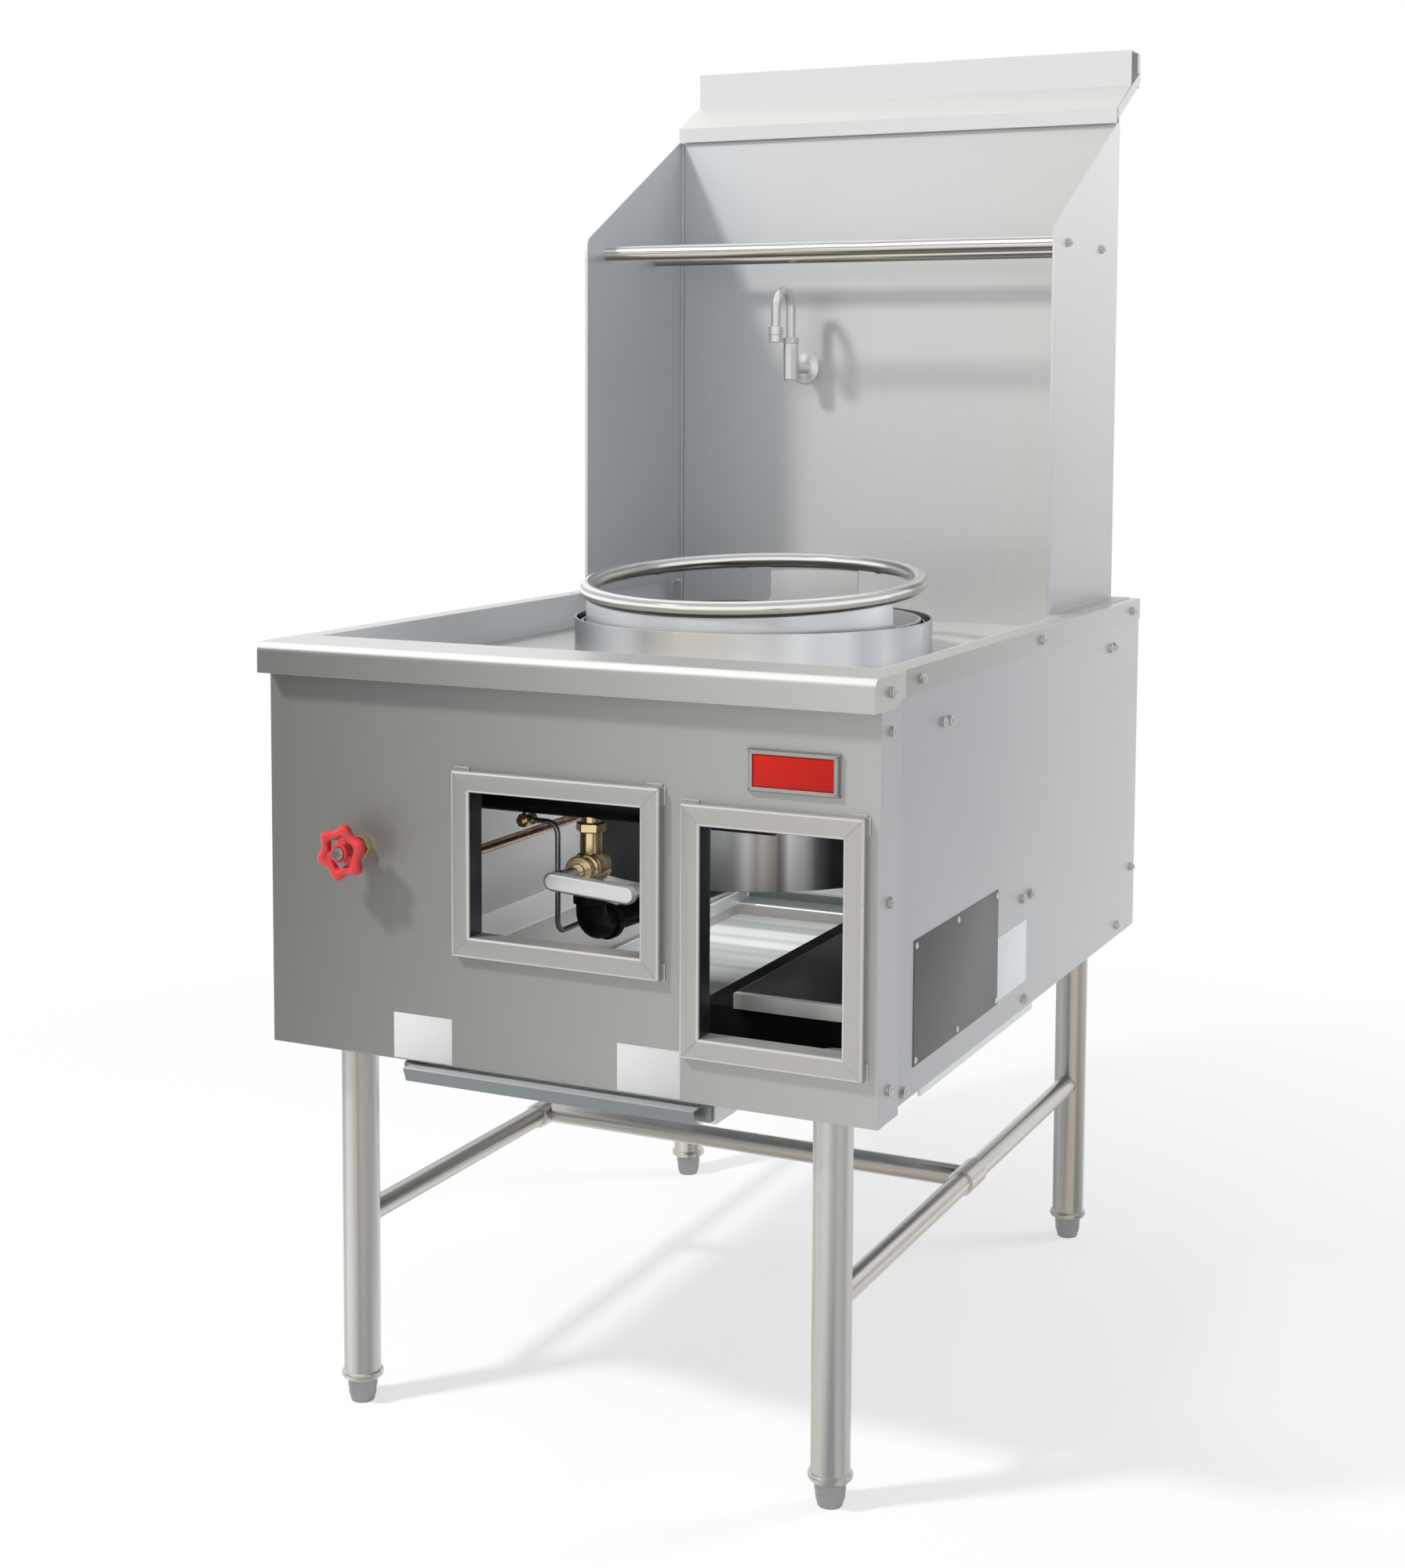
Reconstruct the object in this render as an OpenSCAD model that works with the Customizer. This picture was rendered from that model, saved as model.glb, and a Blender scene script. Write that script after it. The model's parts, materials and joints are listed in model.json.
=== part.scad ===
// Single free-standing gas wok range: stainless counter on four legs, a fire chamber with a lift-off
// wok ring, a gas valve behind the left window, a pull-out drip tray and a backsplash with a swing tap.
// Every shape is drawn with y = 0 at the front panel and moved to the centre of the footprint at the end.

/* [Counter] */
// Width over the two side panels
counter_w = 710; // [600:5:900]
// Depth from the front panel's face to the rear panel's face
counter_d = 950; // [900:5:1100]
// Floor to the top of the rim
rim_z = 865; // [845:1:900]
// Floor to the lower edge of the front panel
panel_z = 420; // [400:1:430]
// Sheet metal thickness
sheet = 1.5; // [1:0.1:2.5]
// Lower edge of the side panels above that of the front panel
side_lift = 7; // [4:0.5:9]
// Length of the front panel's folds onto the sides
front_return = 55; // [30:1:58]
// Width of the hems folded inward at the panels' lower edges
hem = 14; // [8:1:20]

/* [Rim and deck] */
// How far the front cap stands out from the front panel
cap_out = 22; // [14:1:30]
// Height of the front cap
cap_drop = 34; // [30:1:45]
// Radius of the front cap's upper edge
cap_round = 10; // [4:0.5:13]
// Depth of the front cap behind the panel's face
cap_depth = 60; // [59:1:80]
// Length of the slope at the foot of the cap's ears
ear_slope = 20; // [10:1:30]
// Height of the side rims' outer flanges
rim_drop = 27; // [18:1:29]
// Width of the side rims' flat tops
rim_top = 24; // [20:1:30]
// Depth of the deck below the rim
deck_drop = 43; // [30:1:60]
// Thickness of the deck
deck_t = 2; // [1.5:0.1:3]

/* [Windows] */
// Centre of the valve window across the panel
valve_window_x = 0; // [-20:1:10]
// Centre height of the valve window
valve_window_z = 641; // [630:1:650]
// Share of the counter's width that the valve window opens
valve_window_share = 0.2817; // [0.24:0.001:0.288]
// Clear height of the valve window
valve_window_h = 154; // [130:1:170]
// Share of the half width at which the tray window's middle stands
tray_window_place = 0.6873; // [0.68:0.001:0.693]
// Centre height of the tray window
tray_window_z = 597; // [590:1:610]
// Share of the counter's width that the tray window opens
tray_window_share = 0.2169; // [0.18:0.001:0.219]
// Clear height of the tray window
tray_window_h = 216; // [180:1:230]
// Face width of the window trims
trim_w = 22; // [14:1:24]
// How far the trims stand out from the panel
trim_proud = 10; // [4:0.5:12]
// Depth of the trims' inner jambs
trim_jamb = 27; // [16:1:32]

/* [Fire chamber] */
// Share of the counter's depth at which the burner's axis stands
burner_share = 0.517; // [0.495:0.001:0.535]
// Outer radius of the collar on the deck
collar_r = 216.4; // [214:0.2:225]
// Wall of the collar
collar_t = 2; // [1.5:0.1:3]
// Outer radius of the fire chamber
chamber_r = 209; // [207:0.5:210]
// Wall of the fire chamber
chamber_t = 3; // [2:0.1:3.5]
// Height of the chamber's lower edge
chamber_z = 570; // [565:1:600]
// Drop of the chamber's upper edge below the collar's
chamber_drop = 5; // [2:0.5:10]
// Width of the ledge that carries the wok ring
ledge_w = 9; // [6:0.5:12]
// Thickness of the ledge
ledge_t = 4; // [3:0.5:6]
// Depth of the ledge's upper face below the rim
ledge_drop = 27; // [22:1:32]

/* [Wok ring] */
// Radius of the ring's centre line
ring_r = 201.5; // [200:0.5:203]
// Radius of the ring's round bar
ring_bar_r = 9.5; // [7:0.5:11]
// Height of the ring's centre above the rim
ring_rise = 40; // [36:1:50]
// Tilt of the ring, higher at the back
ring_tilt = 4.1; // [0:0.1:6]
// Wall of the skirt under the ring
skirt_t = 3; // [2:0.1:4]
// Width of the strut at the back of the skirt, in degrees
strut_angle = 35; // [25:1:45]
// Angle from the sides at which the skirt's front wall ends
front_wall_angle = 13; // [5:1:25]
// Height of the skirt's band below its rear windows
band_h = 26; // [20:1:32]
// Corner radius of the skirt's rear windows
window_round = 9; // [5:0.5:12]

/* [Burner] */
// Radius of the burner's casting
burner_r = 92; // [80:1:110]
// Height of the burner's casting
burner_h = 34; // [26:1:40]
// Jets in the inner and in the outer circle
jet_counts = [6, 12];
// Radius of a jet's body
jet_r = 8; // [6:0.5:9]
// Height of a jet
jet_h = 32; // [24:1:40]
// Thickness of the bracket under the burner
bracket_t = 4; // [3:0.5:6]
// Width of the bracket under the burner
bracket_w = 56; // [50:1:80]

/* [Gas line] */
// Outer diameter of the gas manifold
manifold_od = 42.2; // [33.4:0.1:43]
// Wall of the gas manifold
manifold_wall = 3.5; // [2.5:0.1:4]
// Distance of the manifold from the front panel's face
manifold_y = 150; // [140:1:165]
// Height of the manifold's axis
manifold_z = 690.6; // [685:0.2:700]
// From the right side in to the manifold's closed end
manifold_end_inset = 175; // [155:1:205]
// From the left side in to the run that goes back to the inlet
manifold_inset = 65; // [55:1:75]
// How far the gas inlet stands out behind the rear panel
inlet_out = 40; // [20:1:40]
// Place of the gas valve across the panel
valve_x = -40; // [-45:1:-35]
// Height of the gas valve's spindle
valve_z = 616; // [612:1:620]
// Radius of the valve's body
valve_r = 19; // [16:0.5:20]
// Length of the valve's body along its spindle
valve_len = 42; // [36:1:46]
// Radius of the valve's front disc
disc_r = 16.5; // [14:0.5:18]
// Radius of the valve's spindle
spindle_r = 6; // [5:0.5:7]
// Distance of the lever's front face from the panel's face
lever_y = 58; // [40:1:62]
// Length of the lever between the centres of its ends
lever_len = 89; // [60:1:92]
// Height of the lever
lever_h = 20; // [16:1:24]
// Thickness of the lever
lever_t = 12; // [8:1:14]
// How far the closed lever hangs below the level, in degrees
lever_droop = 4; // [0:0.5:8]
// Height of the burner's feed pipe
feed_z = 549; // [545:0.5:550]
// Outer diameter of the feed pipe
feed_od = 26.7; // [21.3:0.1:27]
// Wall of the feed pipe
feed_wall = 2.9; // [2:0.1:4]

/* [Pilot] */
// Place of the pilot valve across the panel
pilot_x = -121; // [-125:1:-110]
// Outer diameter of the pilot tube
pilot_od = 6; // [4:0.5:7]
// Wall of the pilot tube
pilot_wall = 1; // [0.6:0.1:1.2]
// Height of the pilot tube's run to the burner
pilot_z = 538; // [532:1:540]

/* [Water line] */
// From the left side in to the water valve
water_inset = 115; // [105:1:125]
// Height of the water valve
water_z = 647; // [640:1:655]
// Outer diameter of the copper pipes
copper_od = 12; // [10:0.5:12.7]
// Wall of the copper pipes
copper_wall = 1; // [0.7:0.1:1.5]
// Bend radius of the copper pipes
copper_bend = 18; // [16:1:20]
// Drop of the tap's pipe below the water valve
copper_drop = 48; // [46:1:55]
// Rise of the supply pipe above the water valve
copper_rise = 98; // [90:1:110]
// Outer radius of the handwheel
wheel_r = 31; // [26:0.5:40]
// Thickness of the handwheel
wheel_t = 13; // [10:0.5:16]
// Distance of the handwheel's back from the front panel
wheel_gap = 31; // [28:1:45]

/* [Backsplash] */
// From the side panel's face in to the outer face of a wing
wing_inset = 36; // [31:1:43]
// Depth of a wing
wing_d = 286; // [224:2:302]
// Height of the wings' front corners
wing_z = 1335; // [1330:1:1400]
// Radius of the wings' front corners
wing_round = 14; // [8:1:24]
// Width of the wings' base flanges
wing_base = 25; // [18:1:30]
// Width of the fold along the wings' front edges
wing_fold = 10; // [6:1:16]
// From the rear panel's face in to the back panel
back_inset = 7; // [6:1:15]
// Height of the lower edge of the top cap's lip
lip_z = 1488; // [1470:1:1520]
// Height of the top cap's lip
lip_h = 20; // [14:1:26]
// Distance of the lip in front of the back panel
lip_out = 9; // [5:1:14]
// Rise of the top cap's slope behind the lip
slope_rise = 37; // [20:1:50]
// Distance from the lip back to the upstand
slope_run = 66; // [50:1:80]
// Height of the upstand
upstand_h = 46; // [30:1:60]
// Depth of the upstand's channel
upstand_d = 41; // [25:1:50]
// Radius of the two rails between the wings
rail_r = 9.5; // [7:0.5:11]
// Height of the rails
rail_z = 1320; // [1300:1:1322]
// Distance of the front and the rear rail from the back panel
rail_gaps = [229, 81];

/* [Tap] */
// Place of the tap across the back panel
tap_x = -125; // [-140:1:-110]
// Height of the tap's flange
tap_z = 1169; // [1160:1:1180]
// Distance of the tap's riser from the back panel
tap_out = 52; // [46:1:60]
// Radius of the tap's wall flange
flange_r = 22; // [18:0.5:26]
// Thickness of the tap's wall flange
flange_t = 6; // [4:0.5:8]
// Width of the tap's faceted body
tap_w = 20; // [18:0.5:24]
// Outer diameter of the spout
spout_od = 13; // [11:0.5:14]
// Wall of the spout
spout_wall = 1.2; // [0.8:0.1:1.6]
// Bend radius of the spout
spout_bend = 26; // [22:1:30]
// Height of the spout's straight riser above the body
spout_rise = 46; // [36:1:60]
// Length of the spout's straight end
spout_drop = 30; // [24:1:36]
// Length of the aerator
aerator_h = 22; // [16:1:26]
// Outer diameter of the aerator
aerator_od = 20; // [17:0.5:22]

/* [Drip tray] */
// Middle of the tray across the counter
tray_x = -10; // [-14:1:-6]
// Width of the tray
tray_w = 364; // [340:1:370]
// From the tray's back wall to the rear panel's face
tray_back_gap = 80; // [72:1:142]
// Height of the tray's walls
tray_h = 16; // [12:1:26]
// Drop of the tray's upper edge below the front panel
tray_drop = 5; // [4:0.5:9]
// Distance of the tray's front behind the panel's face
tray_y = 8; // [6:0.5:12]
// How far the tray's pull lip stands out in front of the panel
pull_out = 11; // [6:1:16]
// Width of the guides' ledges
guide_w = 20; // [14:1:26]
// Thickness of the guides
guide_t = 3; // [2:0.5:4]

/* [Side shelf] */
// Height of the shelf's top
shelf_z = 515; // [505:1:520]
// From the side panel's face in to the shelf's left edge
shelf_inset = 190; // [183:1:195]
// Distance of the shelf's lip from the front panel's face
shelf_y = 79; // [70:1:90]
// Length of the shelf
shelf_len = 430; // [380:1:440]
// Height of the shelf's lip
shelf_lip = 16; // [10:1:18]
// Width of the black ledge beside the shelf
shelf_margin = 19; // [10:1:20]

/* [Legs] */
// Outer diameter of the legs
leg_od = 41.3; // [38.1:0.1:45]
// Wall of the legs
leg_wall = 1.6; // [1.2:0.1:2.5]
// From the side panel's face in to the legs
leg_inset = 70; // [65:1:80]
// Front legs from the front panel's face
leg_front_y = 62; // [58:1:70]
// Rear legs from the rear panel's face
leg_rear_gap = 43; // [42:1:60]
// Height of the stretchers
stretcher_z = 212; // [150:1:260]
// Outer diameter of the stretchers
stretcher_od = 25.4; // [19:0.1:30]
// Height of the feet below the legs' inserts
foot_h = 27; // [22:0.5:34]
// Height of the beads round the legs' ends
foot_ring_h = 10; // [8:0.5:12]
// Radius of the beads round the legs' ends
foot_ring_r = 23.6; // [23:0.1:25]
// Radius of the feet's studs
stud_r = 8; // [6:0.5:9]
// Length of the feet's studs
stud_len = 46; // [40:1:50]

/* [Hidden] */
$fn = 64;
// Overrun of every cut past the face that it opens
over = 1;
// Clearance between pieces that slide or seat loosely
gap = 0.3;
// Running fit, on the radius
fit = 0.05;
// Clearance of a pipe in a panel's hole, on the radius
hole_gap = 0.5;

half_w = counter_w / 2;
valve_window_w = counter_w * valve_window_share;
tray_window_w = counter_w * tray_window_share;
tray_window_x = half_w * tray_window_place;
burner_y = counter_d * burner_share;
manifold_right = half_w - manifold_end_inset;
manifold_left = half_w - manifold_inset;
water_x = water_inset - half_w;
wing_x = half_w - wing_inset;
back_y = counter_d - back_inset;
wing_y = back_y - wing_d;
rail_ys = [for (g = rail_gaps) back_y - g];
tray_len = counter_d - tray_y - tray_back_gap;
shelf_x = half_w - shelf_inset;
leg_x = half_w - leg_inset;
outer_x = half_w + sheet;
pan_x = outer_x - rim_top;
deck_z = rim_z - deck_drop;
side_z = panel_z + side_lift;
panel_top = rim_z - sheet;
chamber_top = rim_z - chamber_drop;
chamber_in = chamber_r - chamber_t;
ledge_z = rim_z - ledge_drop;
ring_z = rim_z + ring_rise;
skirt_z = ledge_z + gap;
manifold_low = manifold_z - manifold_od / 2;

// Cap ears
ear_tail = 7;

// Window trim tabs
tab_len = 18;
tab_h = 3.5;
windows = [[valve_window_x, valve_window_z, valve_window_w, valve_window_h],
           [tray_window_x, tray_window_z, tray_window_w, tray_window_h]];

// Base frame under the panels
frame_lift = 10;
frame_h = 40;
frame_w = 40;
frame_t = 3;
corner_w = 110;
sleeve_t = 3.4;
frame_z = panel_z + frame_lift;
frame_x = half_w - sheet;
frame_y = counter_d - sheet;
drop_lip_h = 12;
drop_lip_shares = [0.135, 0.398];

// Burner
boss_r = 20;
boss_drop = 19;
burner_bevel = 8;
socket_len = 40;
socket_wall = 3.4;
socket_depth = 14;
jet_bore_r = 2.5;
jet_tip_r = 5;
jet_foot_share = 0.6;
jet_circle_shares = [0.42, 0.8];
bracket_gap = 1;
feed_from = [valve_x, manifold_y, feed_z];
feed_to = [0, burner_y, feed_z];
feed_dir = unit(feed_to - feed_from);
feed_turn = atan2(feed_from[0] - feed_to[0], feed_to[1] - feed_from[1]);
elbow_leg = 36;
elbow_bend = 20;
elbow_od = 34;
elbow_wall = 5.5;
band_len = 9;
band_rise = 3;

// Gas valve
valve_front = manifold_y - valve_len / 2;
disc_t = 10;
disc_y = valve_front - disc_t;
valve_bore_share = 0.7;
barrel_r = 12.5;
barrel_top = 44.5;
union_r = 17;
union_h = 11;
valve_neck_r = 11;
outlet_r = 13;
boss_back_r = 9;
boss_back_t = 6;

// Locknuts where the supply pipes leave the rear panel
locknut_t = 8;
gas_locknut_od = 56;
water_locknut_od = 24;

// Pilot
pilot_drop = 8;
pilot_body_r = 8;
pilot_body_len = 22;
pilot_neck_r = 5;
pilot_screw_r = 3.5;
pilot_screw_len = 14;
pilot_screw_in = 8;
pilot_drop_x = -82;
pilot_end_gap = 91;
pilot_rise = 52;
pilot_bend = 14;
pilot_tip_r = 6;
pilot_tip_h = 26;

// Water valve
nut_t = 6;
nut_r = 8;
stem_r = 5;
gland_r = 15;
gland_t = 9;
neck_r = 11;
neck_len = 22;
water_r = 16;
water_len = 40;
port_r = 9;
port_len = 24;
port_y = neck_len + water_len / 2;
wheel_back = -wheel_gap;
wheel_front = wheel_back - wheel_t;
front_y = wheel_front - nut_t;
wheel_hub_r = 10.5;
wheel_web_r = 19;
wheel_spoke = 12;
lobe_r = 9;
lobes = 6;
spokes = 3;
wheel_turn = 20;
hub_back = 14;

// Backsplash
cap_front = back_y - lip_out;
upstand_y = cap_front + slope_run;
upstand_z = lip_z + lip_h + slope_rise;
rear_y = upstand_y + upstand_d;
slope_t = 2;
wing_in = wing_x - sheet;
wing_hem_t = 4;
back_top = lip_z + lip_h + lip_out * slope_rise / slope_run - slope_t;
origin_y = (front_y + rear_y) / 2;

// Tap
tap_y = back_y - tap_out;
shank_r = 8;
tap_low = 17;
tap_high = 34;
gland_nut_h = 8;
gland_nut_r = 11.5;
spout_seat = 22;
spout_r = spout_od / 2;
aerator_seat = 6;
aerator_wall = 3;
riser_y = counter_d + 2 * copper_od;
turn_y = counter_d - 3 * copper_od;
shank_end = riser_y - copper_bend - copper_wall;
supply_end = counter_d + inlet_out;

// Drip tray
tray_top = panel_z - tray_drop;
tray_z = tray_top - tray_h;
pull_inset = 10;
pull_fall = 1;
pull_back = 6;

// Side shelf
support_t = 2.5;
shelf_top_z = shelf_z - shelf_lip;
apron_h = 56;
apron_in = 9;

// Legs
leg_rear_y = counter_d - leg_rear_gap;
leg_ys = [leg_front_y, leg_rear_y];
cross_y = (leg_front_y + leg_rear_y) / 2;
leg_r = leg_od / 2;
tee_r = 15.5;
tee_len = 50;
plug_end = 30;
bead_step_share = 0.1;
foot_tip_r = 13;
foot_mid_r = 15.8;
foot_mid_share = 0.37;
foot_hex_share = 0.63;
foot_top_r = 16.4;
foot_hex_r = 17.4;

// Nuts on bolt ends: places [y, z] on the right side, by the layer that they sit on
bolt_r = 5.8;
bolt_h = 7;
bolt_nut_share = 0.6;
bolt_end_share = 0.52;
bolt_in = 25;
rim_bolt_z = rim_z - rim_drop / 2;
ear_bolts = [[(cap_depth - cap_out) / 2, rim_z - cap_drop / 2]];
rim_bolts = [for (s = [0.114, 0.539, 0.958]) [counter_d * s, rim_bolt_z]];
return_bolts = [for (s = [0.075, 0.497, 0.877]) [bolt_in, panel_z + (panel_top - panel_z) * s]];
panel_bolt_shares = [[0.074, 0.026], [0.185, 0.852], [0.207, 0.85], [0.852, 0.882], [0.872, 0.882],
                     [0.480, 0.302], [0.511, 0.302], [0.978, 0.186], [0.909, 0.036], [0.494, 0.026]];
panel_bolt_places = [for (s = panel_bolt_shares)
                     [counter_d * s[0], side_z + (panel_top - side_z) * s[1]]];

function unit(v) = v / norm(v);
function heading(p, i) = unit(p[i + 1] - p[i]);
function turn(p, i) = acos(heading(p, i - 1) * heading(p, i));
function trimmed(p, i, bend) = (i == 0 || i == len(p) - 1) ? 0 : bend * tan(turn(p, i) / 2);
function is_steep(v) = abs(v[2]) > abs(v[0]) + abs(v[1]);
function beside(v) = unit(cross(v, is_steep(v) ? [1, 0, 0] : [0, 0, 1]));

// A profile drawn in (y, z), run along x from the start
module along_x(start, length) {
    translate([start, 0, 0])
        rotate([90, 0, 90])
            linear_extrude(length)
                children();
}

// A profile drawn in (x, z), run along y from the start
module along_y(start, length) {
    translate([0, start + length, 0])
        rotate([90, 0, 0])
            linear_extrude(length)
                children();
}

module rod_x(at, r, length) {
    translate(at)
        rotate([0, 90, 0])
            cylinder(r = r, h = length);
}

module rod_y(at, r, length, sides = $fn) {
    translate(at)
        rotate([-90, 0, 0])
            cylinder(r = r, h = length, $fn = sides);
}

// Puts a shape's own axes along three given directions
module set_axes(x, y, z, at) {
    multmatrix([[x[0], y[0], z[0], at[0]],
                [x[1], y[1], z[1], at[1]],
                [x[2], y[2], z[2], at[2]],
                [0, 0, 0, 1]])
        children();
}

module pointed_along(dir, at) {
    side = beside(dir);
    set_axes(side, cross(dir, side), dir, at)
        children();
}

module ring_2d(od, wall) {
    difference() {
        circle(d = od);
        circle(d = od - 2 * wall);
    }
}

// A bent pipe through a list of corner points
module pipe(p, od, wall, bend) {
    for (i = [0:len(p) - 2]) {
        d = heading(p, i);
        a = p[i] + d * trimmed(p, i, bend);
        b = p[i + 1] - d * trimmed(p, i + 1, bend);
        pointed_along(d, a)
            linear_extrude(norm(b - a))
                ring_2d(od, wall);
    }
    if (len(p) > 2)
        for (i = [1:len(p) - 2]) {
            d = heading(p, i - 1);
            n = unit(heading(p, i) - d * (d * heading(p, i)));
            set_axes(-n, d, cross(-n, d), p[i] - d * trimmed(p, i, bend) + n * bend)
                rotate_extrude(angle = turn(p, i))
                    translate([bend, 0])
                        ring_2d(od, wall);
        }
}

module at_burner(z) {
    translate([0, burner_y, z])
        children();
}

module window_frame_2d(w, h, t) {
    difference() {
        square([w + 2 * t, h + 2 * t], center = true);
        square([w, h], center = true);
    }
}

module front_panel() {
    tall = panel_top - panel_z;
    color("silver")
        difference() {
            union() {
                translate([-outer_x, 0, panel_z])
                    cube([2 * outer_x, sheet, tall]);
                translate([half_w, 0, panel_z])
                    cube([sheet, front_return, tall]);
                translate([-outer_x, 0, panel_z])
                    cube([sheet, front_return, tall]);
                translate([-outer_x, 0, panel_z])
                    cube([2 * outer_x, hem, sheet]);
            }
            for (w = windows)
                along_y(-over, sheet + 2 * over)
                    translate([w[0], w[1]])
                        square([w[2] + 2 * (sheet + gap), w[3] + 2 * (sheet + gap)], center = true);
            rod_y([water_x, -over, water_z], neck_r + hole_gap, sheet + 2 * over);
        }
}

module right_side_panel() {
    color("silver")
        translate([half_w - sheet, sheet, side_z])
            cube([sheet, counter_d - 2 * sheet, panel_top - side_z]);
}

module left_side_panel() {
    mirror([1, 0, 0])
        right_side_panel();
}

module rear_panel() {
    color("silver")
        difference() {
            translate([-half_w, counter_d - sheet, side_z])
                cube([counter_w, sheet, panel_top - side_z]);
            rod_y([-manifold_left, counter_d - sheet - over, manifold_z],
                  manifold_od / 2 + hole_gap, sheet + 2 * over);
            for (p = [[tap_x, water_z - copper_drop], [water_x, water_z + copper_rise]])
                rod_y([p[0], counter_d - sheet - over, p[1]],
                      copper_od / 2 + hole_gap, sheet + 2 * over);
        }
}

// Angle iron round the foot of the panels, with corner plates and sleeves for the legs
module base_frame() {
    inner = frame_x - frame_t;
    color("dimgray")
        difference() {
            union() {
                difference() {
                    translate([-frame_x, sheet, frame_z])
                        cube([2 * frame_x, frame_y - sheet, frame_h]);
                    translate([-inner, sheet + frame_t, frame_z + frame_t])
                        cube([2 * inner, frame_y - sheet - 2 * frame_t, frame_h]);
                    translate([frame_w - frame_x, sheet + frame_w, frame_z - over])
                        cube([2 * (frame_x - frame_w), frame_y - sheet - 2 * frame_w, frame_h]);
                }
                for (x = [-frame_x, frame_x - corner_w], y = [sheet, frame_y - corner_w])
                    translate([x, y, frame_z])
                        cube([corner_w, corner_w, frame_t]);
                for (x = [-leg_x, leg_x], y = leg_ys)
                    translate([x, y, frame_z])
                        cylinder(r = leg_r + sleeve_t, h = frame_h);
                translate([inner, counter_d * drop_lip_shares[0], frame_z - drop_lip_h])
                    cube([frame_t, counter_d * drop_lip_shares[1], drop_lip_h]);
            }
            for (x = [-leg_x, leg_x], y = leg_ys)
                translate([x, y, frame_z - over])
                    cylinder(r = leg_r + fit, h = frame_h + 2 * over);
        }
}

module deck_pan() {
    back = counter_d - sheet;
    deep = rim_z - deck_z + deck_t;
    color("lightgray")
        difference() {
            translate([-pan_x, cap_depth, deck_z - deck_t])
                cube([2 * pan_x, back - cap_depth, deep]);
            translate([sheet - pan_x, cap_depth + sheet, deck_z])
                cube([2 * (pan_x - sheet), back - cap_depth, deep]);
            at_burner(deck_z - deck_t - over)
                cylinder(r = chamber_r + gap, h = deck_t + 2 * over);
        }
}

module deck_collar() {
    color("lightgray")
        at_burner(deck_z)
            rotate_extrude()
                translate([collar_r - collar_t, 0])
                    square([collar_t, deck_drop]);
}

// Section of the front cap in (y, z): a rounded nose and a flat top
module cap_section(inset, open) {
    translate([inset - cap_out, rim_z - cap_drop - open])
        square([cap_out + cap_depth - inset + open, cap_drop - cap_round + open]);
    translate([cap_round - cap_out, rim_z - cap_round])
        square([cap_out + cap_depth - cap_round + open, cap_round - inset]);
    translate([cap_round - cap_out, rim_z - cap_round])
        circle(cap_round - inset);
}

module cap_ear() {
    low = rim_z - cap_drop;
    intersection() {
        cap_section(0, 0);
        polygon([[-cap_out, rim_z], [-cap_out, low], [cap_depth - ear_tail - ear_slope, low],
                 [cap_depth - ear_tail, rim_z - rim_drop], [cap_depth, rim_z - rim_drop],
                 [cap_depth, rim_z]]);
    }
}

module front_cap() {
    color("gainsboro") {
        along_x(-outer_x - sheet, 2 * (outer_x + sheet))
            difference() {
                cap_section(0, 0);
                cap_section(sheet, over);
            }
        for (x = [-outer_x - sheet, outer_x])
            along_x(x, sheet)
                cap_ear();
    }
}

module right_rim() {
    color("gainsboro")
        along_y(cap_depth, counter_d - cap_depth) {
            translate([pan_x, rim_z - sheet])
                square([rim_top, sheet]);
            translate([half_w, rim_z - rim_drop])
                square([sheet, rim_drop]);
        }
}

module left_rim() {
    mirror([1, 0, 0])
        right_rim();
}

// Folded trim round a window: face, outer wall, inner jamb and the tabs at its ends
module window_trim(w) {
    tall = w[3] + 2 * trim_w;
    wide = w[2] + 2 * trim_w;
    translate([w[0], 0, w[1]])
        color("silver") {
            along_y(-trim_proud, sheet)
                window_frame_2d(w[2], w[3], trim_w);
            along_y(-trim_proud, trim_proud)
                window_frame_2d(wide - 2 * sheet, tall - 2 * sheet, sheet);
            along_y(-trim_proud, trim_jamb)
                window_frame_2d(w[2], w[3], sheet);
            for (x = [-wide / 2, wide / 2 - tab_len])
                translate([x, -sheet, tall / 2 - sheet])
                    cube([tab_len, sheet, tab_h + sheet]);
            for (z = [-tall / 2, tall / 2 - tab_len])
                translate([wide / 2 - sheet, -sheet, z])
                    cube([tab_h + sheet, sheet, tab_len]);
        }
}

module valve_window_trim() {
    window_trim(windows[0]);
}

module tray_window_trim() {
    window_trim(windows[1]);
}

module fire_chamber() {
    color("silver")
        translate([0, burner_y, 0])
            rotate_extrude() {
                translate([chamber_in, chamber_z])
                    square([chamber_t, chamber_top - chamber_z]);
                translate([chamber_in, deck_z])
                    square([collar_r - collar_t - gap - chamber_in, chamber_t]);
                translate([chamber_in - ledge_w, ledge_z - ledge_t])
                    square([ledge_w + chamber_t, ledge_t]);
            }
}

module burner_head() {
    top = chamber_z + burner_h;
    color("dimgray")
        difference() {
            union() {
                translate([0, burner_y, 0])
                    rotate_extrude()
                        polygon([[0, chamber_z], [burner_r - burner_bevel, chamber_z],
                                 [burner_r, chamber_z + burner_bevel], [burner_r, top - burner_bevel],
                                 [burner_r - burner_bevel, top], [0, top]]);
                at_burner(feed_z - boss_drop)
                    cylinder(r = boss_r, h = chamber_z - feed_z + boss_drop);
                pointed_along(-feed_dir, feed_to)
                    cylinder(r = feed_od / 2 + socket_wall, h = socket_len);
            }
            pointed_along(-feed_dir, feed_to - feed_dir * (socket_len - socket_depth))
                cylinder(r = feed_od / 2 + fit, h = socket_depth + over);
        }
}

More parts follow.
